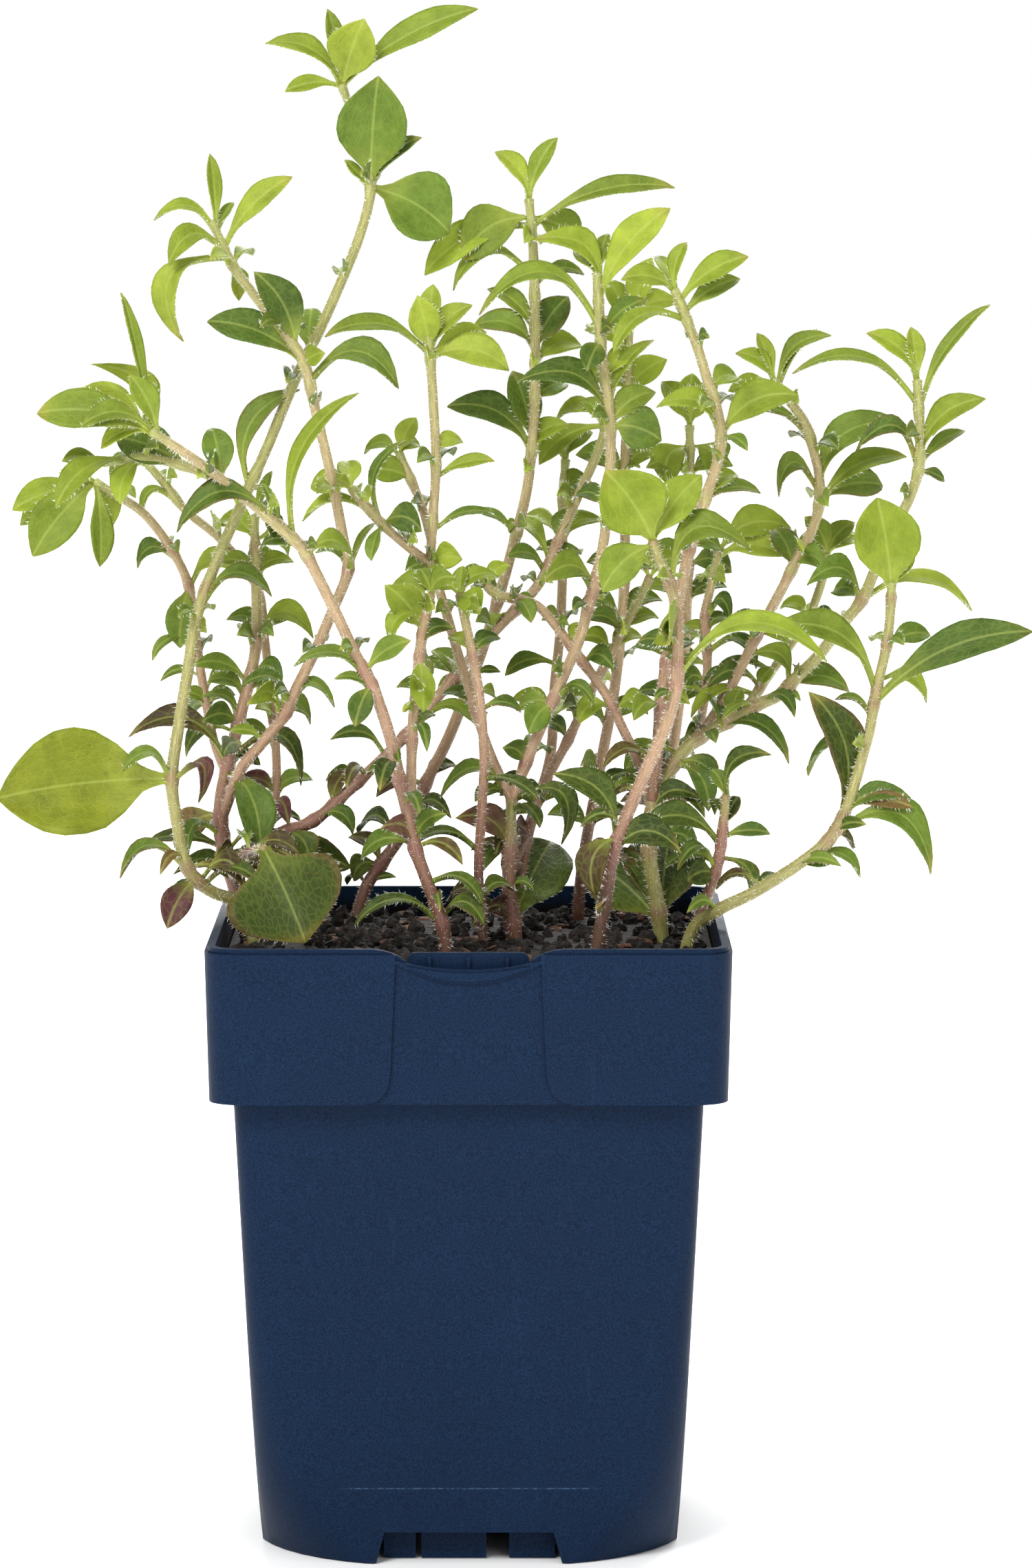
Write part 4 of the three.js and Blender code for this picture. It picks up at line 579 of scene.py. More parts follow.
def lay_out() -> list[LeafyStem]:
    """Grows every leaf: first those of the solids, in the same order, so that they find the same places."""
    stems = [LeafyStem(name, branches) for name, branches in PLANT.items()]
    rng = np.random.default_rng(SEED)
    draw = np.random.default_rng(UNDERGROWTH_SEED)
    passes = (
        lambda branch: [leaf for leaf in branch.leaves if leaf.is_large()],
        lambda branch: [leaf for leaf in branch.leaves if not leaf.is_large()],
        Branch.small_pairs,
        lambda branch: [*branch.undergrowth(draw), *branch.cross_pairs(draw)],
    )
    for leaves_of in passes:
        for stem in stems:
            others = [other for other in stems if other is not stem]
            for branch in stem.branches:
                for leaf in leaves_of(branch):
                    stem.grow(branch, leaf, others, rng)
    return stems


@dataclass
class MeshParts:
    """Vertices, faces and per-vertex values that are gathered into one mesh."""

    vertices: list = field(default_factory=list)
    faces: list = field(default_factory=list)
    tints: list = field(default_factory=list)
    marks: list = field(default_factory=list)
    count: int = 0

    def add(self, vertices: Array, blocks: Sequence[Array], tint: Array = NOTHING,
            mark: Array = NOTHING) -> None:
        """Adds a closed body, from blocks of faces, with a colour and a mark for each vertex."""
        self.vertices.append(vertices)
        self.faces.extend(block + self.count for block in blocks)
        self.tints.append(np.broadcast_to(tint, (len(vertices), 3)))
        self.marks.append(np.broadcast_to(mark, (len(vertices), 3)))
        self.count += len(vertices)

    def build(self, name: str, material: Material, smooth: bool = True) -> bpy.types.Object:
        """Makes the mesh object, in metres.

        Args:
            name: The object's name.
            material: Its finish.
            smooth: Whether its faces are shaded smooth.

        Returns:
            The new object, linked to the scene.
        """
        mesh = bpy.data.meshes.new(name)
        faces = [row for block in self.faces for row in block.tolist()]
        mesh.from_pydata((np.vstack(self.vertices) * MM).tolist(), [], faces)
        mesh.polygons.foreach_set("use_smooth", np.full(len(mesh.polygons), smooth))
        tint = mesh.color_attributes.new("tint", "FLOAT_COLOR", "POINT")
        colours = np.hstack([np.vstack(self.tints), np.ones((self.count, 1))])
        tint.data.foreach_set("color", colours.astype(np.float32).ravel())
        mark = mesh.attributes.new("mark", "FLOAT_VECTOR", "POINT")
        mark.data.foreach_set("vector", np.vstack(self.marks).astype(np.float32).ravel())
        mesh.materials.append(material)
        mesh.update()
        piece = bpy.data.objects.new(name, mesh)
        bpy.context.scene.collection.objects.link(piece)
        return piece


def grid_faces(rows: int, columns: int, closed: bool = False) -> Array:
    """Returns the quads of a grid of vertices, rows by columns, round on itself where closed."""
    r, c = np.meshgrid(np.arange(rows - 1), np.arange(columns if closed else columns - 1), indexing="ij")
    nxt = (c + 1) % columns
    quads = [r * columns + c, r * columns + nxt, (r + 1) * columns + nxt, (r + 1) * columns + c]
    return np.stack(quads, axis=-1).reshape(-1, 4)


def tube_faces(rings: int, sides: int) -> tuple[Array, Array]:
    """Returns the quads of a tube and the triangles of its caps, whose two middles follow the rings."""
    grid = rings * sides
    side = np.arange(sides)
    following = (side + 1) % sides
    foot = np.stack([np.full(sides, grid), following, side], axis=-1)
    end = np.stack([np.full(sides, grid + 1), grid - sides + side, grid - sides + following], axis=-1)
    return grid_faces(rings, sides, closed=True), np.vstack([foot, end])


@dataclass(frozen=True)
class LeafShape:
    """The cut of a leaf blade in shares of its length and half width, its thicknesses, and its tints."""

    places: tuple[float, ...] = (0, 0.08, 0.18, 0.3, 0.42, 0.54, 0.66, 0.78, 0.88, 0.95, 1)
    narrow: tuple[float, ...] = (0.22, 0.19, 0.24, 0.47, 0.76, 0.95, 1, 0.88, 0.6, 0.32, 0.04)
    broad: tuple[float, ...] = (0.12, 0.11, 0.26, 0.66, 0.92, 1, 0.97, 0.8, 0.52, 0.27, 0.03)
    broad_from: float = 0.42
    long_from: float = 17.0
    wide_from: float = 9.0
    blade: float = 0.42
    rib: float = 0.5
    rib_half: float = 0.45
    vein_share: float = 0.46
    vein_sink: float = 0.12
    channel: float = 0.3
    wave: float = 0.07
    wave_length: float = 22.0
    foot_reach: float = 0.42
    tip_from: float = 0.86
    rim_from: float = 0.82
    foot_tint: str = "#a0a84c"
    tip_tint: str = "#a8924a"
    rim_tint: str = "#7a4b3c"

    def half_width(self, blade: Blade, t: Array) -> Array:
        """Returns the half width along the blade, from 0 to 1 along it."""
        cut = self.broad if blade.width / blade.length > self.broad_from else self.narrow
        return np.maximum(np.interp(t, self.places, cut) * blade.width / 2, 0.06)

    def tints(self, age: LeafAge, t: Array, u: Array, upper: bool,
              rng: Draw) -> Array:
        """Mixes a leaf's colours over its grid.

        Args:
            age: The leaf's age.
            t: Places along it, 0 to 1, one for each grid point.
            u: Places across it, -1 to 1.
            upper: Whether this is the upper side.
            rng: The draw for its shade.

        Returns:
            Linear colours, one row for each grid point.
        """
        main = linear(age.above[int(rng.integers(len(age.above)))])
        colour = main if upper else 0.45 * main + 0.55 * linear(age.beneath)
        tint = np.tile(colour * (0.86 + 0.28 * rng.random()), (t.size, 1))
        foot = np.clip(1 - t / self.foot_reach, 0, 1) * (0.3 if age is LeafAge.OLD else 0.85)
        tint = blended(tint, foot, linear(self.foot_tint))
        dry = 0.55 if rng.random() < 0.3 else 0.12
        tip = np.clip((t - self.tip_from) / (1 - self.tip_from), 0, 1) * dry
        tint = blended(tint, tip, linear(self.tip_tint))
        if age in (LeafAge.OLD, LeafAge.GROWN) and rng.random() < 0.3:
            rim = np.clip((np.abs(u) - self.rim_from) / (1 - self.rim_from), 0, 1) * 0.5
            tint = blended(tint, rim, linear(self.rim_tint))
        return tint

    def add(self, parts: MeshParts, hairs: "Hairs", blade: Blade, rng: Draw) -> None:
        """Adds one leaf as a thin closed body with a channel, waved edges, sunk veins and a rib beneath.

        Args:
            parts: The mesh that takes it.
            hairs: The hairs that take its fringe.
            blade: The leaf.
            rng: The draw for its waves and shade.
        """
        rows = 12 if blade.length < self.long_from else 18
        columns = 9 if blade.width < self.wide_from else 13
        grid = rows * columns
        t = np.linspace(0, 1, rows)
        u = np.linspace(-1, 1, columns)
        off_middle = np.abs(u)
        half = self.half_width(blade, t)
        tangent = unit(blade.chord + blade.rise * (blade.bow * 4 * (1 - 2 * t))[:, None])
        normal = unit(np.cross(tangent, blade.spread))
        normal = np.where((normal @ blade.face)[:, None] < 0, -normal, normal)
        across = half[:, None] * u
        phase = rng.random(2) * math.tau
        waves = 1.2 + blade.length / self.wave_length
        bend = np.sin(t * math.tau * waves + phase[0])[:, None] * off_middle ** 2
        twist = np.sin(t * math.tau * 0.8 + phase[1])[:, None] * u * off_middle
        fold = self.channel * (1.5 if blade.width > self.wide_from else 1.0)
        lift = half[:, None] * (fold * off_middle ** 1.6 + self.wave * (bend + twist))
        vein = np.exp(-((off_middle - self.vein_share) / 0.1) ** 2) * (half / half.max())[:, None]
        lift = lift - self.vein_sink * vein - self.vein_sink * 1.6 * np.exp(-(across / 0.4) ** 2)
        rib = self.rib * np.exp(-(across / self.rib_half) ** 2) * (1 - 0.75 * t)[:, None]
        thick = self.blade * (0.55 + 0.45 * (1 - off_middle ** 3)) * np.clip((1.04 - t) * 9, 0.3, 1)[:, None]
        middle = blade.midrib(t)[:, None] + blade.spread * across[..., None]
        top = middle + normal[:, None] * (lift + thick / 2)[..., None]
        low = middle + normal[:, None] * (lift - thick / 2 - rib)[..., None]
        upper = grid_faces(rows, columns)
        outline = np.concatenate([np.arange(columns - 1), np.arange(columns - 1, grid - 1, columns),
                                  np.arange(grid - 1, grid - columns, -1),
                                  np.arange(grid - columns, 0, -columns)])
        following = np.roll(outline, -1)
        sides = np.stack([outline, outline + grid, following + grid, following], axis=-1)
        faces = np.vstack([upper, upper[:, ::-1] + grid, sides])
        if np.cross(blade.spread, tangent[rows // 2]) @ normal[rows // 2] < 0:
            faces = faces[:, ::-1]
        along = np.repeat(t, columns)
        mark = np.stack([across.ravel(), along * blade.length, np.full(grid, blade.age.wear)], axis=-1)
        shade = rng.integers(1 << 30)
        tint = np.vstack([self.tints(blade.age, along, np.tile(u, rows), side, np.random.default_rng(shade))
                          for side in (True, False)])
        parts.add(np.vstack([top.reshape(-1, 3), low.reshape(-1, 3)]), [faces], tint, np.vstack([mark, mark]))
        hairs.fringe(blade, t, middle + normal[:, None] * lift[..., None], normal, rng)


@dataclass
class Hairs:
    """The white hairs of one stem: slim three-sided points with closed feet, and how many for each mm."""

    radius: float = 0.045
    leaf_length: tuple[float, float] = (0.45, 1.05)
    stem_length: tuple[float, float] = (0.3, 1.05)
    on_edge: float = 2.0
    on_stem: float = 13.0
    edge_run: tuple[float, float] = (0.08, 0.99)
    edge_tangle: float = 0.18
    stem_tangle: float = 0.28
    edge_sink: float = 0.1
    stem_sink: float = 0.08
    colour: str = "#f3f2ea"
    roots: list = field(default_factory=list)
    ways: list = field(default_factory=list)

    def fringe(self, blade: Blade, t: Array, middle: Array, normal: Array,
               rng: Draw) -> None:
        """Adds hairs along both edges of a leaf."""
        count = int(blade.length * self.on_edge)
        for column, sign in ((0, -1), (-1, 1)):
            place = rng.uniform(*self.edge_run, count)
            off = sampled(place, t, normal)
            way = sign * blade.spread + 0.5 * blade.along + off * rng.uniform(-0.7, 0.9, (count, 1))
            way = unit(way + rng.normal(0, self.edge_tangle, (count, 3)))
            self.roots.append(sampled(place, t, middle[:, column]) - way * self.edge_sink)
            self.ways.append(way * rng.uniform(*self.leaf_length, (count, 1)))

    def clothe(self, arc: Array, points: Array, axes: tuple[Array, Array],
               radius: Array, rng: Draw) -> None:
        """Adds hairs all round a stem, above the soil.

        Args:
            arc: How far along the stem each point is.
            points: The stem's middle line.
            axes: Two directions across the stem at each point.
            radius: The stem's radius at each point.
            rng: The draw for the hairs.
        """
        count = int(arc[-1] * self.on_stem)
        place = rng.uniform(0.02, 1, count) * arc[-1]
        where = sampled(place, arc, points)
        above = where[:, 2] > ROOM.soil_top + ROOM.soil_bump
        spin = rng.uniform(0, math.tau, (count, 1))
        out = sampled(place, arc, axes[0]) * np.cos(spin) + sampled(place, arc, axes[1]) * np.sin(spin)
        way = unit(out + rng.normal(0, self.stem_tangle, (count, 3)))
        deep = np.interp(place, arc, radius)[:, None] - self.stem_sink
        self.roots.append((where + out * deep)[above])
        self.ways.append((way * rng.uniform(*self.stem_length, (count, 1)))[above])

    def build(self, name: str, material: Material) -> bpy.types.Object:
        """Makes all the hairs one mesh object."""
        roots, ways = np.vstack(self.roots), np.vstack(self.ways)
        along = unit(ways)
        first = unit(np.cross(along, np.where(np.abs(along[:, 2:]) < 0.9, UP, FRONT)))
        second = np.cross(along, first)
        ring = [roots + self.radius * (math.cos(a) * first + math.sin(a) * second)
                for a in (0, math.tau / 3, 2 * math.tau / 3)]
        vertices = np.stack([*ring, roots + ways], axis=1).reshape(-1, 3)
        base = np.arange(len(roots))[:, None] * 4
        faces = [base + corner for corner in ([0, 1, 3], [1, 2, 3], [2, 0, 3], [0, 2, 1])]
        parts = MeshParts()
        parts.add(vertices, faces, linear(self.colour))
        return parts.build(name, material, smooth=False)


def smooth_path(path: Array, step: float = 1.1) -> tuple[Array, Array]:
    """Runs a smooth line through a path's points.

    Args:
        path: The points in mm.
        step: The spacing of the new points.

    Returns:
        The new points, and their places counted in path points.
    """
    padded = np.vstack([2 * path[0] - path[1], path, 2 * path[-1] - path[-2]])
    points, places = [], []
    for i in range(len(path) - 1):
        p0, p1, p2, p3 = padded[i:i + 4]
        count = max(2, int(np.linalg.norm(p2 - p1) / step))
        s = np.arange(count)[:, None] / count
        points.append(0.5 * (2 * p1 + (p2 - p0) * s + (2 * p0 - 5 * p1 + 4 * p2 - p3) * s ** 2
                             + (3 * p1 - p0 - 3 * p2 + p3) * s ** 3))
        places.append(i + s[:, 0])
    return np.vstack([*points, path[-1]]), np.concatenate([*places, [len(path) - 1]])


@dataclass(frozen=True)
class StemShape:
    """The make of a stem: its rings and swollen nodes in mm and shares of its radius, and its tints."""

    sides: int = 12
    planted_depth: float = 6.0
    ridge: float = 0.05
    node_swell: float = 0.28
    node_reach: float = 1.3
    tip_narrowing: float = 0.86
    tints: tuple[str, ...] = ("#5c4130", "#835945", "#b59677", "#b8a878")
    soil_level: float = 104.0
    low_level: float = 114.0
    middle_level: float = 140.0
    high_level: float = 190.0
    level_spread: float = 8.0
    middle_spread: float = 12.0
    green_chance: float = 0.22
    green_share: float = 0.75
    tip_from: float = 0.72
    blush: float = 0.5
    tip_tint: str = "#a0a65a"
    low_node_tint: str = "#94635a"
    high_node_tint: str = "#a8b062"
    high_from: float = 175.0

    def node_rings(self, branch: Branch, arc: Array, places: Array) -> Array:
        """Returns how much of a swollen node each point is, from 0 to 1."""
        ring = np.zeros(len(arc))
        for place in sorted({round(leaf.place * 2) / 2 for leaf in branch.leaves if leaf.place > 0.5}):
            gap = arc - np.interp(place, places, arc)
            ring = np.maximum(ring, np.exp(-(gap / self.node_reach) ** 2))
        return ring

    def tones(self, height: Array, share: Array, ring: Array,
              rng: Draw) -> Array:
        """Mixes a stem's colours: brown at the soil, then tan, then green, and reddish at low nodes.

        Args:
            height: Each point's height.
            share: Its place from 0 at the foot to 1 at the tip.
            ring: How much of a swollen node it is.
            rng: The draw for its shade.

        Returns:
            Linear colours, one row for each point.
        """
        height = height + rng.uniform(-self.level_spread, self.level_spread)
        middle = self.middle_level + rng.uniform(-self.middle_spread, self.middle_spread)
        levels = (self.soil_level, self.low_level, middle, self.high_level)
        tone = sampled(height, levels, np.array([linear(tint) for tint in self.tints]))
        green = self.green_share if rng.random() < self.green_chance else 0.0
        tip = np.clip((share - self.tip_from) / (1 - self.tip_from), green, 1)
        tone = blended(tone, tip, linear(self.tip_tint))
        node = np.where(height[:, None] < self.high_from, linear(self.low_node_tint),
                        linear(self.high_node_tint))
        return blended(tone, self.blush * ring, node)

    def add(self, parts: MeshParts, hairs: Hairs, branch: Branch, rng: Draw) -> None:
        """Adds a branch as a round stem with swollen nodes, ridges and its hairs.

        Args:
            parts: The mesh that takes it.
            hairs: The hairs that take those on it.
            branch: The branch.
            rng: The draw for its shade and hairs.
        """
        path = branch.path
        planted = path[0][2] < ROOM.soil_top + 1
        if planted:
            path = np.vstack([path[0] - self.planted_depth * unit(path[1] - path[0]), path])
        points, places = smooth_path(path)
        places = places - (1 if planted else 0)
        last = len(branch.path) - 1
        radius = np.interp(places, [0, last], [branch.foot_radius, branch.tip_radius])
        radius = radius * np.where(places > last - 0.5, self.tip_narrowing, 1.0)
        arc = np.concatenate([[0], np.cumsum(np.linalg.norm(np.diff(points, axis=0), axis=1))])
        ring = self.node_rings(branch, arc, places)
        radius = radius * (1 + self.node_swell * ring)
        tangent = unit(np.gradient(points, axis=0))
        first = unit(np.cross(tangent, FRONT + 0.01))
        second = np.cross(tangent, first)
        angle = np.arange(self.sides) / self.sides * math.tau
        reach = radius[:, None] * (1 + self.ridge * np.cos(angle * 4))
        around = first[:, None] * np.cos(angle)[:, None] + second[:, None] * np.sin(angle)[:, None]
        rings = points[:, None] + around * reach[..., None]
        vertices = np.vstack([rings.reshape(-1, 3), points[0], points[-1] + tangent[-1] * 0.5])
        tone = self.tones(points[:, 2], places / last, ring, rng)
        tint = np.vstack([np.repeat(tone, self.sides, axis=0), tone[0], tone[-1]])
        mark = np.stack([np.tile(angle * 2, len(points)), np.repeat(arc, self.sides),
                         np.zeros(len(points) * self.sides)], axis=-1)
        mark = np.vstack([mark, mark[0], mark[-1]])
        parts.add(vertices, tube_faces(len(points), self.sides), tint, mark)
        hairs.clothe(arc, points, (first, second), radius, rng)


@dataclass
class Foliage:
    """All the leafy stems: blades, stems and hairs, each set standing for its node."""

    leaf: Material
    stem: Material
    hair: Material

    def build(self) -> None:
        """Builds each leafy stem's pieces."""
        for number, stem in enumerate(lay_out()):
            rng = np.random.default_rng(SEED + number)
            blades, stalks, hairs = MeshParts(), MeshParts(), Hairs()
            for branch in stem.branches:
                StemShape().add(stalks, hairs, branch, rng)
                for blade in branch.blades:
                    LeafShape().add(blades, hairs, blade, rng)
            short = stem.name.replace("leafy_stem_", "")
            pieces = (stalks.build(f"stalks_{short}", self.stem), blades.build(f"leaves_{short}", self.leaf),
                      hairs.build(f"hairs_{short}", self.hair))
            for piece in pieces:
                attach(piece, "root")
            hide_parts(stem.name)
            LOG.info("%s: %d leaves, %d hairs", stem.name, sum(len(b.blades) for b in stem.branches),
                     sum(len(r) for r in hairs.roots))


@dataclass
class SoilTop:
    """Loose crumbs and bark flakes on the soil."""

    crumb: Material
    bark: Material
    half: float = 41.5
    crumbs: int = 620
    flakes: int = 90
    rings: int = 4
    sides: int = 7
    tab_half: float = 11.6
    tab_back: float = -39.5
    edge_from: float = 36.0
    crumb_size: tuple[float, float] = (1.0, 3.4)
    crumb_skew: tuple[float, float] = (0.7, 1.2)
    flake_size: tuple[tuple[float, float], ...] = ((3, 8), (1.5, 3.4), (0.7, 1.4))

    def chunk(self, size: Array, rng: Draw) -> tuple[Array, Array]:
        """Returns a broken piece's vertices and triangles, of a size in mm along each way."""
        polar = np.linspace(0.35, math.pi - 0.35, self.rings)
        turn = np.arange(self.sides) / self.sides * math.tau
        ball = np.stack([np.sin(polar)[:, None] * np.cos(turn), np.sin(polar)[:, None] * np.sin(turn),
                         np.repeat(np.cos(polar)[:, None], self.sides, axis=1)], axis=-1).reshape(-1, 3)
        ball = np.vstack([ball, UP, -UP])
        ball = ball * rng.uniform(0.72, 1.18, (len(ball), 1)) * size / 2
        quads, caps = tube_faces(self.rings, self.sides)
        quads = quads[:, ::-1]
        spin, lean = rng.uniform(0, math.tau, 2)
        lean = 0.5 * math.sin(lean)
        turned = np.array([[math.cos(spin), -math.sin(spin), 0],
                           [math.sin(spin), math.cos(spin), 0], [0, 0, 1]])
        tilted = np.array([[1, 0, 0], [0, math.cos(lean), -math.sin(lean)],
                           [0, math.sin(lean), math.cos(lean)]])
        return ball @ (turned @ tilted).T, np.vstack([quads[:, :3], quads[:, [0, 2, 3]], caps[:, ::-1]])

    def scatter(self, name: str, count: int, flat: bool, material: Material,
                rng: Draw) -> None:
        """Lays chunks on the soil as one piece.

        Args:
            name: The piece's name.
            count: How many chunks are tried.
            flat: Whether they are flakes rather than crumbs.
            material: Their finish.
            rng: The draw for their places and sizes.
        """
        parts = MeshParts()
        for _ in range(count):
            spot = rng.uniform(-self.half, self.half, 2)
            if abs(spot[0]) < self.tab_half and spot[1] < self.tab_back:
                continue
            if flat:
                size = np.array([rng.uniform(*sizes) for sizes in self.flake_size])
            else:
                size = rng.uniform(*self.crumb_size) * rng.uniform(*self.crumb_skew, 3)
            limit = self.half + 0.9 - size.max() / 2
            spot = np.clip(spot, -limit, limit)
            vertices, faces = self.chunk(size, rng)
            ground = ROOM.soil_top + 0.2 - 1.1 * max(0.0, (np.abs(spot).max() - self.edge_from) / 6)
            parts.add(vertices + np.array([*spot, ground + size[2] * 0.12]), [faces])
        piece = parts.build(name, material, smooth=False)
        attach(piece, "root")
        LOG.info("%s: %d pieces", name, len(parts.vertices))

    def build(self) -> None:
        """Builds the crumbs and the flakes."""
        rng = np.random.default_rng(SOIL_SEED)
        self.scatter("soil_crumbs", self.crumbs, False, self.crumb, rng)
        self.scatter("bark_flakes", self.flakes, True, self.bark, rng)


def plug(node: bpy.types.Node, inputs: dict) -> None:
    """Links each input of a node, by name or number, to an output socket, or sets it to a plain value."""
    for socket, source in inputs.items():
        if isinstance(source, Socket):
            node.id_data.links.new(source, node.inputs[socket])
        else:
            node.inputs[socket].default_value = source


def add_node(tree: bpy.types.NodeTree, kind: str, inputs: dict | None = None, **values) -> bpy.types.Node:
    """Adds a shader node with its settings and inputs.

    Args:
        tree: The node tree that takes it.
        kind: The node's type name without "ShaderNode".
        inputs: Input socket, by name or number, to an output socket or a plain value.
        **values: The node's own settings.

    Returns:
        The new node.
    """
    node = tree.nodes.new(f"ShaderNode{kind}")
    for key, value in values.items():
        setattr(node, key, value)
    plug(node, inputs or {})
    return node


def rgba(hex_colour: str) -> tuple[float, ...]:
    """Returns an sRGB hex colour as linear with full alpha."""
    return (*linear(hex_colour), 1.0)


@dataclass
class Nodes:
    """Short ways to add nodes to one tree. Each returns the socket with the node's result."""

    tree: bpy.types.NodeTree

    def maths(self, operation: str, *numbers) -> Socket:
        """Works on one to three numbers."""
        return add_node(self.tree, "Math", dict(enumerate(numbers)), operation=operation).outputs[0]

    def vector(self, operation: str, *vectors) -> Socket:
        """Works on one or two vectors."""
        node = add_node(self.tree, "VectorMath", dict(enumerate(vectors)), operation=operation)
        return node.outputs["Value" if operation in ("LENGTH", "DOT_PRODUCT") else "Vector"]

    def fit(self, value: Socket, *ends: float, smooth: bool = False) -> Socket:
        """Fits a value from one range, the first two ends, to another, the last two, and holds it there."""
        return add_node(self.tree, "MapRange", dict(enumerate((value, *ends))),
                        interpolation_type="SMOOTHSTEP" if smooth else "LINEAR").outputs[0]

    def parts(self, vector: Socket) -> bpy.types.bpy_prop_collection:
        """Splits a vector into X, Y and Z."""
        return add_node(self.tree, "SeparateXYZ", {0: vector}).outputs

    def where(self, kind: str = "Object") -> Socket:
        """Returns the place on the object, in metres, or another kind of texture place."""
        return add_node(self.tree, "TexCoord").outputs[kind]

    def stored(self, name: str, kind: str) -> Socket:
        """Returns a value that the mesh holds for each vertex, as a Color or a Vector."""
        return add_node(self.tree, "Attribute", attribute_name=name).outputs[kind]

    def noise(self, place: Socket, size: float, detail: float = 2.0,
              roughness: float = 0.5) -> Socket:
        """Returns cloudy noise whose clouds have a size in the units of the place."""
        return add_node(self.tree, "TexNoise", {"Vector": place, "Scale": 1 / size, "Detail": detail,
                                                "Roughness": roughness}).outputs["Fac"]

    def ramp(self, value: Socket, *stops: tuple[float, str]) -> Socket:
        """Maps a value to colours, from stops of place and hex colour."""
        node = add_node(self.tree, "ValToRGB", {"Fac": value})
        elements = node.color_ramp.elements
        elements[0].position, elements[0].color = stops[0][0], rgba(stops[0][1])
        elements[1].position, elements[1].color = stops[-1][0], rgba(stops[-1][1])
        for place, colour in stops[1:-1]:
            elements.new(place).color = rgba(colour)
        return node.outputs["Color"]

    def mixed(self, share, first, second, kind: str = "MIX") -> Socket:
        """Blends two colours."""
        return add_node(self.tree, "Mix", {0: share, 6: first, 7: second}, data_type="RGBA",
                        blend_type=kind).outputs[2]

    def bump(self, height: Socket, strength: float, depth: float,
             invert: bool = False) -> Socket:
        """Returns a normal that is roughened by a height, of a depth in mm."""
        return add_node(self.tree, "Bump", {"Height": height, "Strength": strength, "Distance": depth * MM},
                        invert=invert).outputs[0]


class Finish(Nodes):
    """A material under way, with its shader."""

    def __init__(self, name: str) -> None:
        """Makes the material."""
        self.material = bpy.data.materials.new(name)
        self.material.use_nodes = True
        super().__init__(self.material.node_tree)

    def made(self, inputs: dict) -> Material:
        """Sets the shader's inputs and returns the material."""
        plug(self.tree.nodes["Principled BSDF"], inputs)
        return self.material


@dataclass(frozen=True)
class LeafSkin:
    """A living soapwort leaf: a soft cuticle with a fine net of veins and a pale rib."""

    net: float = 0.95
    net_depth: float = 0.09
    fine_grain: float = 1 / 3.5
    mottle: float = 4.2
    blot: float = 2.4
    mottle_tint: str = "#b4bc9c"
    net_tint: str = "#98a44e"
    rib_tint: str = "#a3ae58"
    blot_tint: str = "#3d2a17"
    roughness: float = 0.5

    def make(self) -> Material:
        """Builds the material. The cuticle shines a little, and the net gives it a puckered look."""
        look = Finish("leaf_skin")
        mark = look.stored("mark", "Vector")
        split = look.parts(mark)
        cells = add_node(look.tree, "TexVoronoi", {"Vector": look.vector("MULTIPLY", mark, (1.0, 0.55, 1.0)),
                                                   "Scale": 1 / self.net}, feature="DISTANCE_TO_EDGE")
        line = look.fit(cells.outputs["Distance"], 0.0, 0.16, 1.0, 0.0, smooth=True)
        rib = look.fit(look.maths("ABSOLUTE", split["X"]), 0.08, 0.34, 1.0, 0.0, smooth=True)
        place = look.where()
        mottle = look.ramp(look.noise(place, self.mottle * MM, 4.0, 0.6),
                           (0.25, self.mottle_tint), (0.75, "#ffffff"))
        colour = look.mixed(0.8, look.stored("tint", "Color"), mottle, "MULTIPLY")
        colour = look.mixed(look.maths("MULTIPLY", line, 0.1), colour, rgba(self.net_tint))
        colour = look.mixed(look.maths("MULTIPLY", rib, 0.3), colour, rgba(self.rib_tint))
        blots = look.fit(look.noise(place, self.blot * MM, 6.0, 0.75), 0.58, 0.7, 0.0, 0.8)
        colour = look.mixed(look.maths("MULTIPLY", blots, split["Z"]), colour, rgba(self.blot_tint))
        height = look.maths("MULTIPLY_ADD", look.noise(mark, self.fine_grain), 0.3, line)
        return look.made({
            "Base Color": colour, "Roughness": self.roughness, "Specular IOR Level": 0.16,
            "Subsurface Weight": 0.12, "Subsurface Radius": (0.5, 0.8, 0.2), "Subsurface Scale": 0.8 * MM,
            "Normal": look.bump(height, 0.5, self.net_depth, invert=True)})


@dataclass(frozen=True)
class StemSkin:
    """A soft green to reddish stem: a ridged skin with fine streaks along it."""

    streak: float = 0.35
    streak_depth: float = 0.08
    roughness: float = 0.5

    def make(self) -> Material:
        """Builds the material. Streaks run along the stem and the skin is slightly waxy."""
        look = Finish("stem_skin")
        along = look.vector("MULTIPLY", look.stored("mark", "Vector"), (1 / self.streak, 0.35, 1.0))
        streaks = look.noise(along, 1.0, 3.0)
        shades = look.ramp(streaks, (0.3, "#9a8478"), (0.7, "#ffffff"))
        return look.made({
            "Base Color": look.mixed(0.7, look.stored("tint", "Color"), shades, "MULTIPLY"),
            "Roughness": self.roughness, "Subsurface Weight": 0.1, "Subsurface Radius": (0.8, 0.7, 0.3),
            "Subsurface Scale": 0.8 * MM, "Normal": look.bump(streaks, 0.5, self.streak_depth)})


@dataclass(frozen=True)
class WhiteHair:
    """Fine plant hairs: clear cells that look white where light catches them."""

    cloud: float = 6.0
    roughness: float = 0.45

    def make(self) -> Material:
        """Builds the material. The hairs vary a little between white and cream."""
        look = Finish("white_hair")
        tone = look.ramp(look.noise(look.where(), self.cloud * MM), (0.3, "#e4e2cf"), (0.6, "#fbfaf4"))
        return look.made({"Base Color": tone, "Roughness": self.roughness})


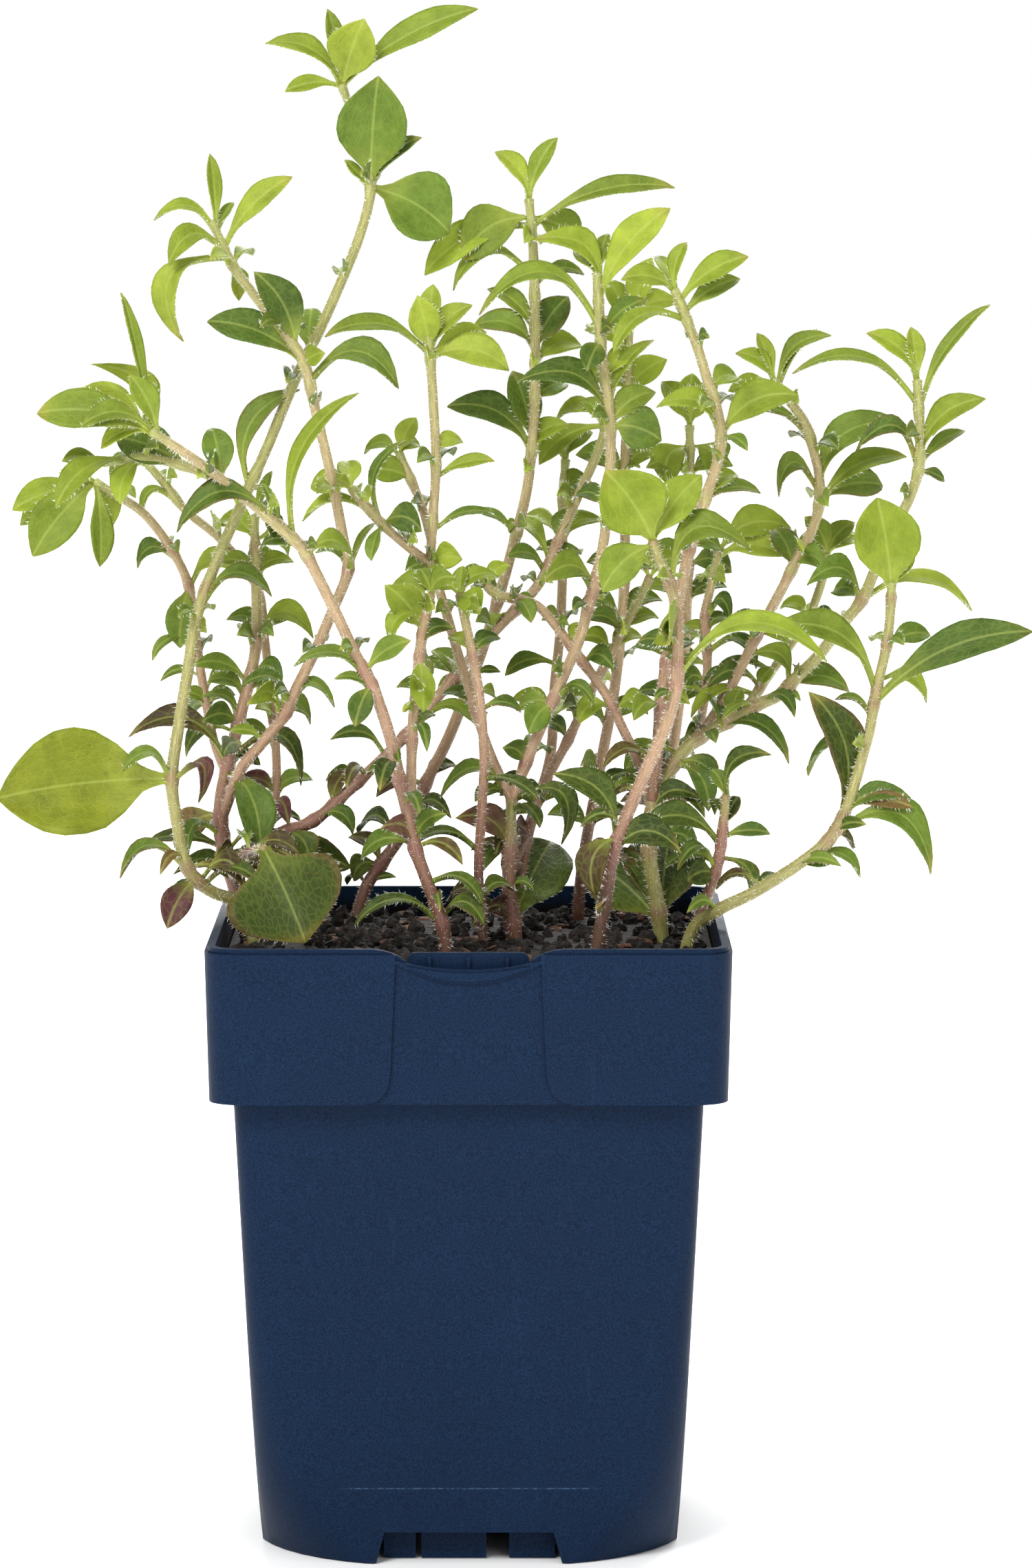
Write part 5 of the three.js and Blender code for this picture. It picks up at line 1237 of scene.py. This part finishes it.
@dataclass(frozen=True)
class MouldedPolypropylene:
    """Navy polypropylene, injection moulded with a fine spark-eroded grain, satin under the light."""

    grain: float = 0.3
    grain_depth: float = 0.04
    cloud: float = 26.0
    scuff: float = 5.0
    inner_shade_patch: float = 3.0
    line_height: float = 13.4
    line_half: float = 0.14
    line_reach: float = 23.0
    line_break: float = 0.8
    # Heights of the painted shade on the wall's inner face, and the size of its patches above.
    inner_shade_top: float = 107.8
    inner_shade_foot: float = 85.0
    scuff_tint: str = "#2d4563"
    line_tint: str = "#3f5672"
    inner_shade_tint: str = "#0b0c0d"
    roughness: float = 0.5

    def inner_shade(self, look: Finish, place: Socket) -> Socket:
        """Returns how much of a place is the wall's inner face, which is painted near black as painted shade,
        in patches.
        """
        height = look.parts(place)["Z"]
        outward = look.vector("MULTIPLY", place, (1.0, 1.0, 0.0))
        normal = add_node(look.tree, "NewGeometry").outputs["True Normal"]
        facing = look.vector("DOT_PRODUCT", normal, outward)
        within = look.fit(facing, -20 * MM, -10 * MM, 1.0, 0.0)
        low = look.fit(height, (self.inner_shade_top - 2.5) * MM, self.inner_shade_top * MM, 1.0, 0.0)
        high = look.fit(height, (self.inner_shade_foot - 1) * MM, self.inner_shade_foot * MM, 0.0, 1.0)
        patchy = look.fit(look.noise(place, self.inner_shade_patch * MM, 5.0), 0.3, 0.5, 0.75, 1.0)
        share = look.maths("MULTIPLY", look.maths("MULTIPLY", within, low), high)
        return look.maths("MULTIPLY", share, patchy)

    def parting_line(self, look: Finish, place: Socket) -> Socket:
        """Returns the thin pale line that the mould leaves low on the wall, broken up along its run."""
        split = look.parts(place)
        off = look.maths("ABSOLUTE", look.maths("ADD", split["Z"], -self.line_height * MM))
        thin = look.fit(off, self.line_half * MM * 0.4, self.line_half * MM, 0.7, 0.0)
        side = look.maths("ABSOLUTE", split["X"])
        near = look.fit(side, (self.line_reach - 2) * MM, self.line_reach * MM, 1.0, 0.0)
        broken = look.fit(look.noise(place, self.line_break * MM, 1.0), 0.4, 0.55, 0.15, 1.0)
        return look.maths("MULTIPLY", look.maths("MULTIPLY", thin, near), broken)

    def make(self) -> Material:
        """Builds the material. The grain softens the gloss, and handling leaves paler scuffs."""
        look = Finish("moulded_polypropylene")
        place = look.where()
        cloud = look.noise(place, self.cloud * MM, 5.0, 0.62)
        grain = look.noise(place, self.grain * MM)
        navy = look.ramp(cloud, (0.25, "#10233b"), (0.55, "#11253e"), (0.85, "#142a45"))
        specks = look.ramp(grain, (0.35, "#a4a9b6"), (0.65, "#ffffff"))
        colour = look.mixed(0.85, navy, specks, "MULTIPLY")
        rubbed = look.noise(look.vector("MULTIPLY", place, (1.0, 1.0, 0.25)), self.scuff * MM, 8.0, 0.7)
        colour = look.mixed(look.fit(rubbed, 0.6, 0.82, 0.0, 0.2), colour, rgba(self.scuff_tint))
        colour = look.mixed(self.parting_line(look, place), colour, rgba(self.line_tint))
        # Painted shade: the wall's inner face is painted near black, from 85 mm up to just under the rim, in
        # patches.
        colour = look.mixed(self.inner_shade(look, place), colour, rgba(self.inner_shade_tint))
        gloss = look.fit(cloud, 0.3, 0.8, self.roughness - 0.06, self.roughness + 0.08)
        return look.made({"Base Color": colour, "Roughness": gloss, "Specular IOR Level": 0.07,
                          "Normal": look.bump(grain, 0.6, self.grain_depth)})


@dataclass(frozen=True)
class PottingMix:
    """Damp peat and composted bark: dark crumbs, and redder flakes between them."""

    name: str = "potting_mix"
    crumb: float = 1.6
    tints: tuple[tuple[float, str], ...] = ((0.3, "#090605"), (0.5, "#160f0a"), (0.72, "#2e2018"))
    depth: float = 0.6
    roughness: float = 0.92

    def make(self) -> Material:
        """Builds the material. It is dull all over; its colour follows the same coarse noise as the bump, so
        the hollows between the crumbs are darker, partly the mix's own dark tone and partly painted shade.
        """
        look = Finish(self.name)
        place = look.where()
        coarse = look.noise(place, self.crumb * 2.6 * MM, 8.0, 0.72)
        cells = add_node(look.tree, "TexVoronoi", {"Vector": place, "Scale": 1 / (self.crumb * MM)})
        height = look.maths("SUBTRACT", coarse, cells.outputs["Distance"])
        # The colour ramp reads the same noise as the bump height: the mix's own tone, with painted shade in
        # the hollows.
        return look.made({"Base Color": look.ramp(coarse, *self.tints), "Roughness": self.roughness,
                          "Normal": look.bump(height, 0.9, self.depth)})


@dataclass(frozen=True)
class SoftEdges:
    """Rounds a moulding's edges, once its triangles are whole faces again."""

    weld: float = 0.002
    flat_angle: float = 0.6
    width: float = 0.35
    edge_angle: float = 32.0
    weight: int = 60

    def soften(self, node: bpy.types.Object) -> None:
        """Adds the modifiers to a CAD node."""
        def add(name: str, kind: str, **settings) -> None:
            """Adds one modifier."""
            modifier = node.modifiers.new(name, kind)
            for key, value in settings.items():
                setattr(modifier, key, value)

        add("joined_corners", "WELD", merge_threshold=self.weld * MM)
        add("whole_faces", "DECIMATE", decimate_type="DISSOLVE", angle_limit=math.radians(self.flat_angle))
        add("soft_edges", "BEVEL", width=self.width * MM, segments=2, limit_method="ANGLE",
            angle_limit=math.radians(self.edge_angle), use_clamp_overlap=True)
        add("smooth_shading", "WEIGHTED_NORMAL", weight=self.weight, keep_sharp=False)


def dress_node(name: str, material: Material) -> bpy.types.Object:
    """Gives a CAD node a finish, and returns the node."""
    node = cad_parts[name]
    node.data.materials.clear()
    node.data.materials.append(material)
    LOG.info("%s dressed", name)
    return node


@dataclass
class Studio:
    """The camera at the photographed angle, a pale floor and soft lights, in mm, degrees and watts."""

    camera_at: tuple[float, float, float] = (8.2, -1100.0, 250.06)
    pitch_down: float = 6.07
    lens: float = 216.27
    sensor: float = 36.0
    aim: tuple[float, float, float] = (8.0, 0.0, 130.0)
    floor_half: float = 4000.0
    floor_level: float = -0.2
    lamps: tuple = (("key_light", (-520, -1000, 1050), 500, 17), ("fill_light", (600, -1050, 450), 900, 4),
                    ("back_light", (200, 900, 900), 900, 16))

    def camera(self) -> None:
        """Builds the camera and makes it the scene's."""
        data = bpy.data.cameras.new("camera")
        data.sensor_fit = "HORIZONTAL"
        data.sensor_width = self.sensor
        data.lens = self.lens
        data.clip_start, data.clip_end = 0.05, 30.0
        camera = bpy.data.objects.new("camera", data)
        camera.location = [v * MM for v in self.camera_at]
        camera.rotation_euler = (math.radians(90 - self.pitch_down), 0, 0)
        bpy.context.scene.collection.objects.link(camera)
        bpy.context.scene.camera = camera

    def lamp(self, name: str, place: Sequence[float], size: float, power: float) -> None:
        """Adds a square soft light that looks at the plant."""
        lamp = bpy.data.lights.new(name, "AREA")
        lamp.shape = "SQUARE"
        lamp.size = size * MM
        lamp.energy = power
        light = bpy.data.objects.new(name, lamp)
        light.location = [v * MM for v in place]
        x, y, z = np.array(self.aim) - np.array(place)
        light.rotation_euler = (math.atan2(math.hypot(x, y), -z), 0, math.atan2(y, x) - math.pi / 2)
        bpy.context.scene.collection.objects.link(light)

    def air(self) -> None:
        """Builds the world: brightest behind the plant, above it and level with it."""
        world = bpy.data.worlds.new("studio_air")
        world.use_nodes = True
        air = Nodes(world.node_tree)
        way = air.parts(air.where("Generated"))
        behind = air.fit(way["Y"], 0.55, 0.96, 0.48, 1.0, smooth=True)
        above = air.fit(way["Z"], 0.3, 0.95, 0.0, 0.9, smooth=True)
        skyline = air.fit(air.maths("ABSOLUTE", way["Z"]), 0.1, 0.22, 1.0, 0.0, smooth=True)
        glow = air.maths("MAXIMUM", air.maths("MAXIMUM", behind, above), skyline)
        plug(air.tree.nodes["Background"], {"Color": (1, 1, 1, 1), "Strength": glow})
        bpy.context.scene.world = world

    def floor(self) -> None:
        """Builds the floor: it glows as if lit from below, everywhere but close under the pot, which leaves a
        painted shadow there.
        """
        look = Finish("opal_acrylic_table")
        # The floor glows away from the pot and not near it: a glowing part, with a painted shadow under the
        # pot.
        floor_glow = look.fit(look.vector("LENGTH", look.where()), 0.06, 0.3, 0.0, 0.7, smooth=True)
        material = look.made({"Base Color": rgba("#fafafa"), "Roughness": 0.9,
                              "Emission Strength": floor_glow, "Emission Color": (1, 1, 1, 1)})
        corners = [(x * self.floor_half, y * self.floor_half, self.floor_level)
                   for x, y in ((-1, -1), (1, -1), (1, 1), (-1, 1))]
        parts = MeshParts()
        parts.add(np.array(corners), [np.array([[0, 1, 2, 3]])], np.ones(3))
        parts.build("pale_floor", material, smooth=False)

    def build(self) -> None:
        """Builds the camera, lights, world and floor."""
        self.camera()
        for lamp in self.lamps:
            self.lamp(*lamp)
        self.air()
        self.floor()
        bpy.context.scene.view_settings.view_transform = "Standard"


def main() -> None:
    """Builds and dresses the whole part in order."""
    Studio().build()
    SoftEdges().soften(dress_node("pot", MouldedPolypropylene().make()))
    dress_node("soil", PottingMix().make())
    bark = PottingMix("bark_flakes", 2.0, ((0.3, "#2a1810"), (0.5, "#4c2f20"), (0.75, "#7a5438")))
    SoilTop(PottingMix(crumb=1.1).make(), bark.make()).build()
    Foliage(LeafSkin().make(), StemSkin().make(), WhiteHair().make()).build()
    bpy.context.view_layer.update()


if __name__ == "__main__":
    main()
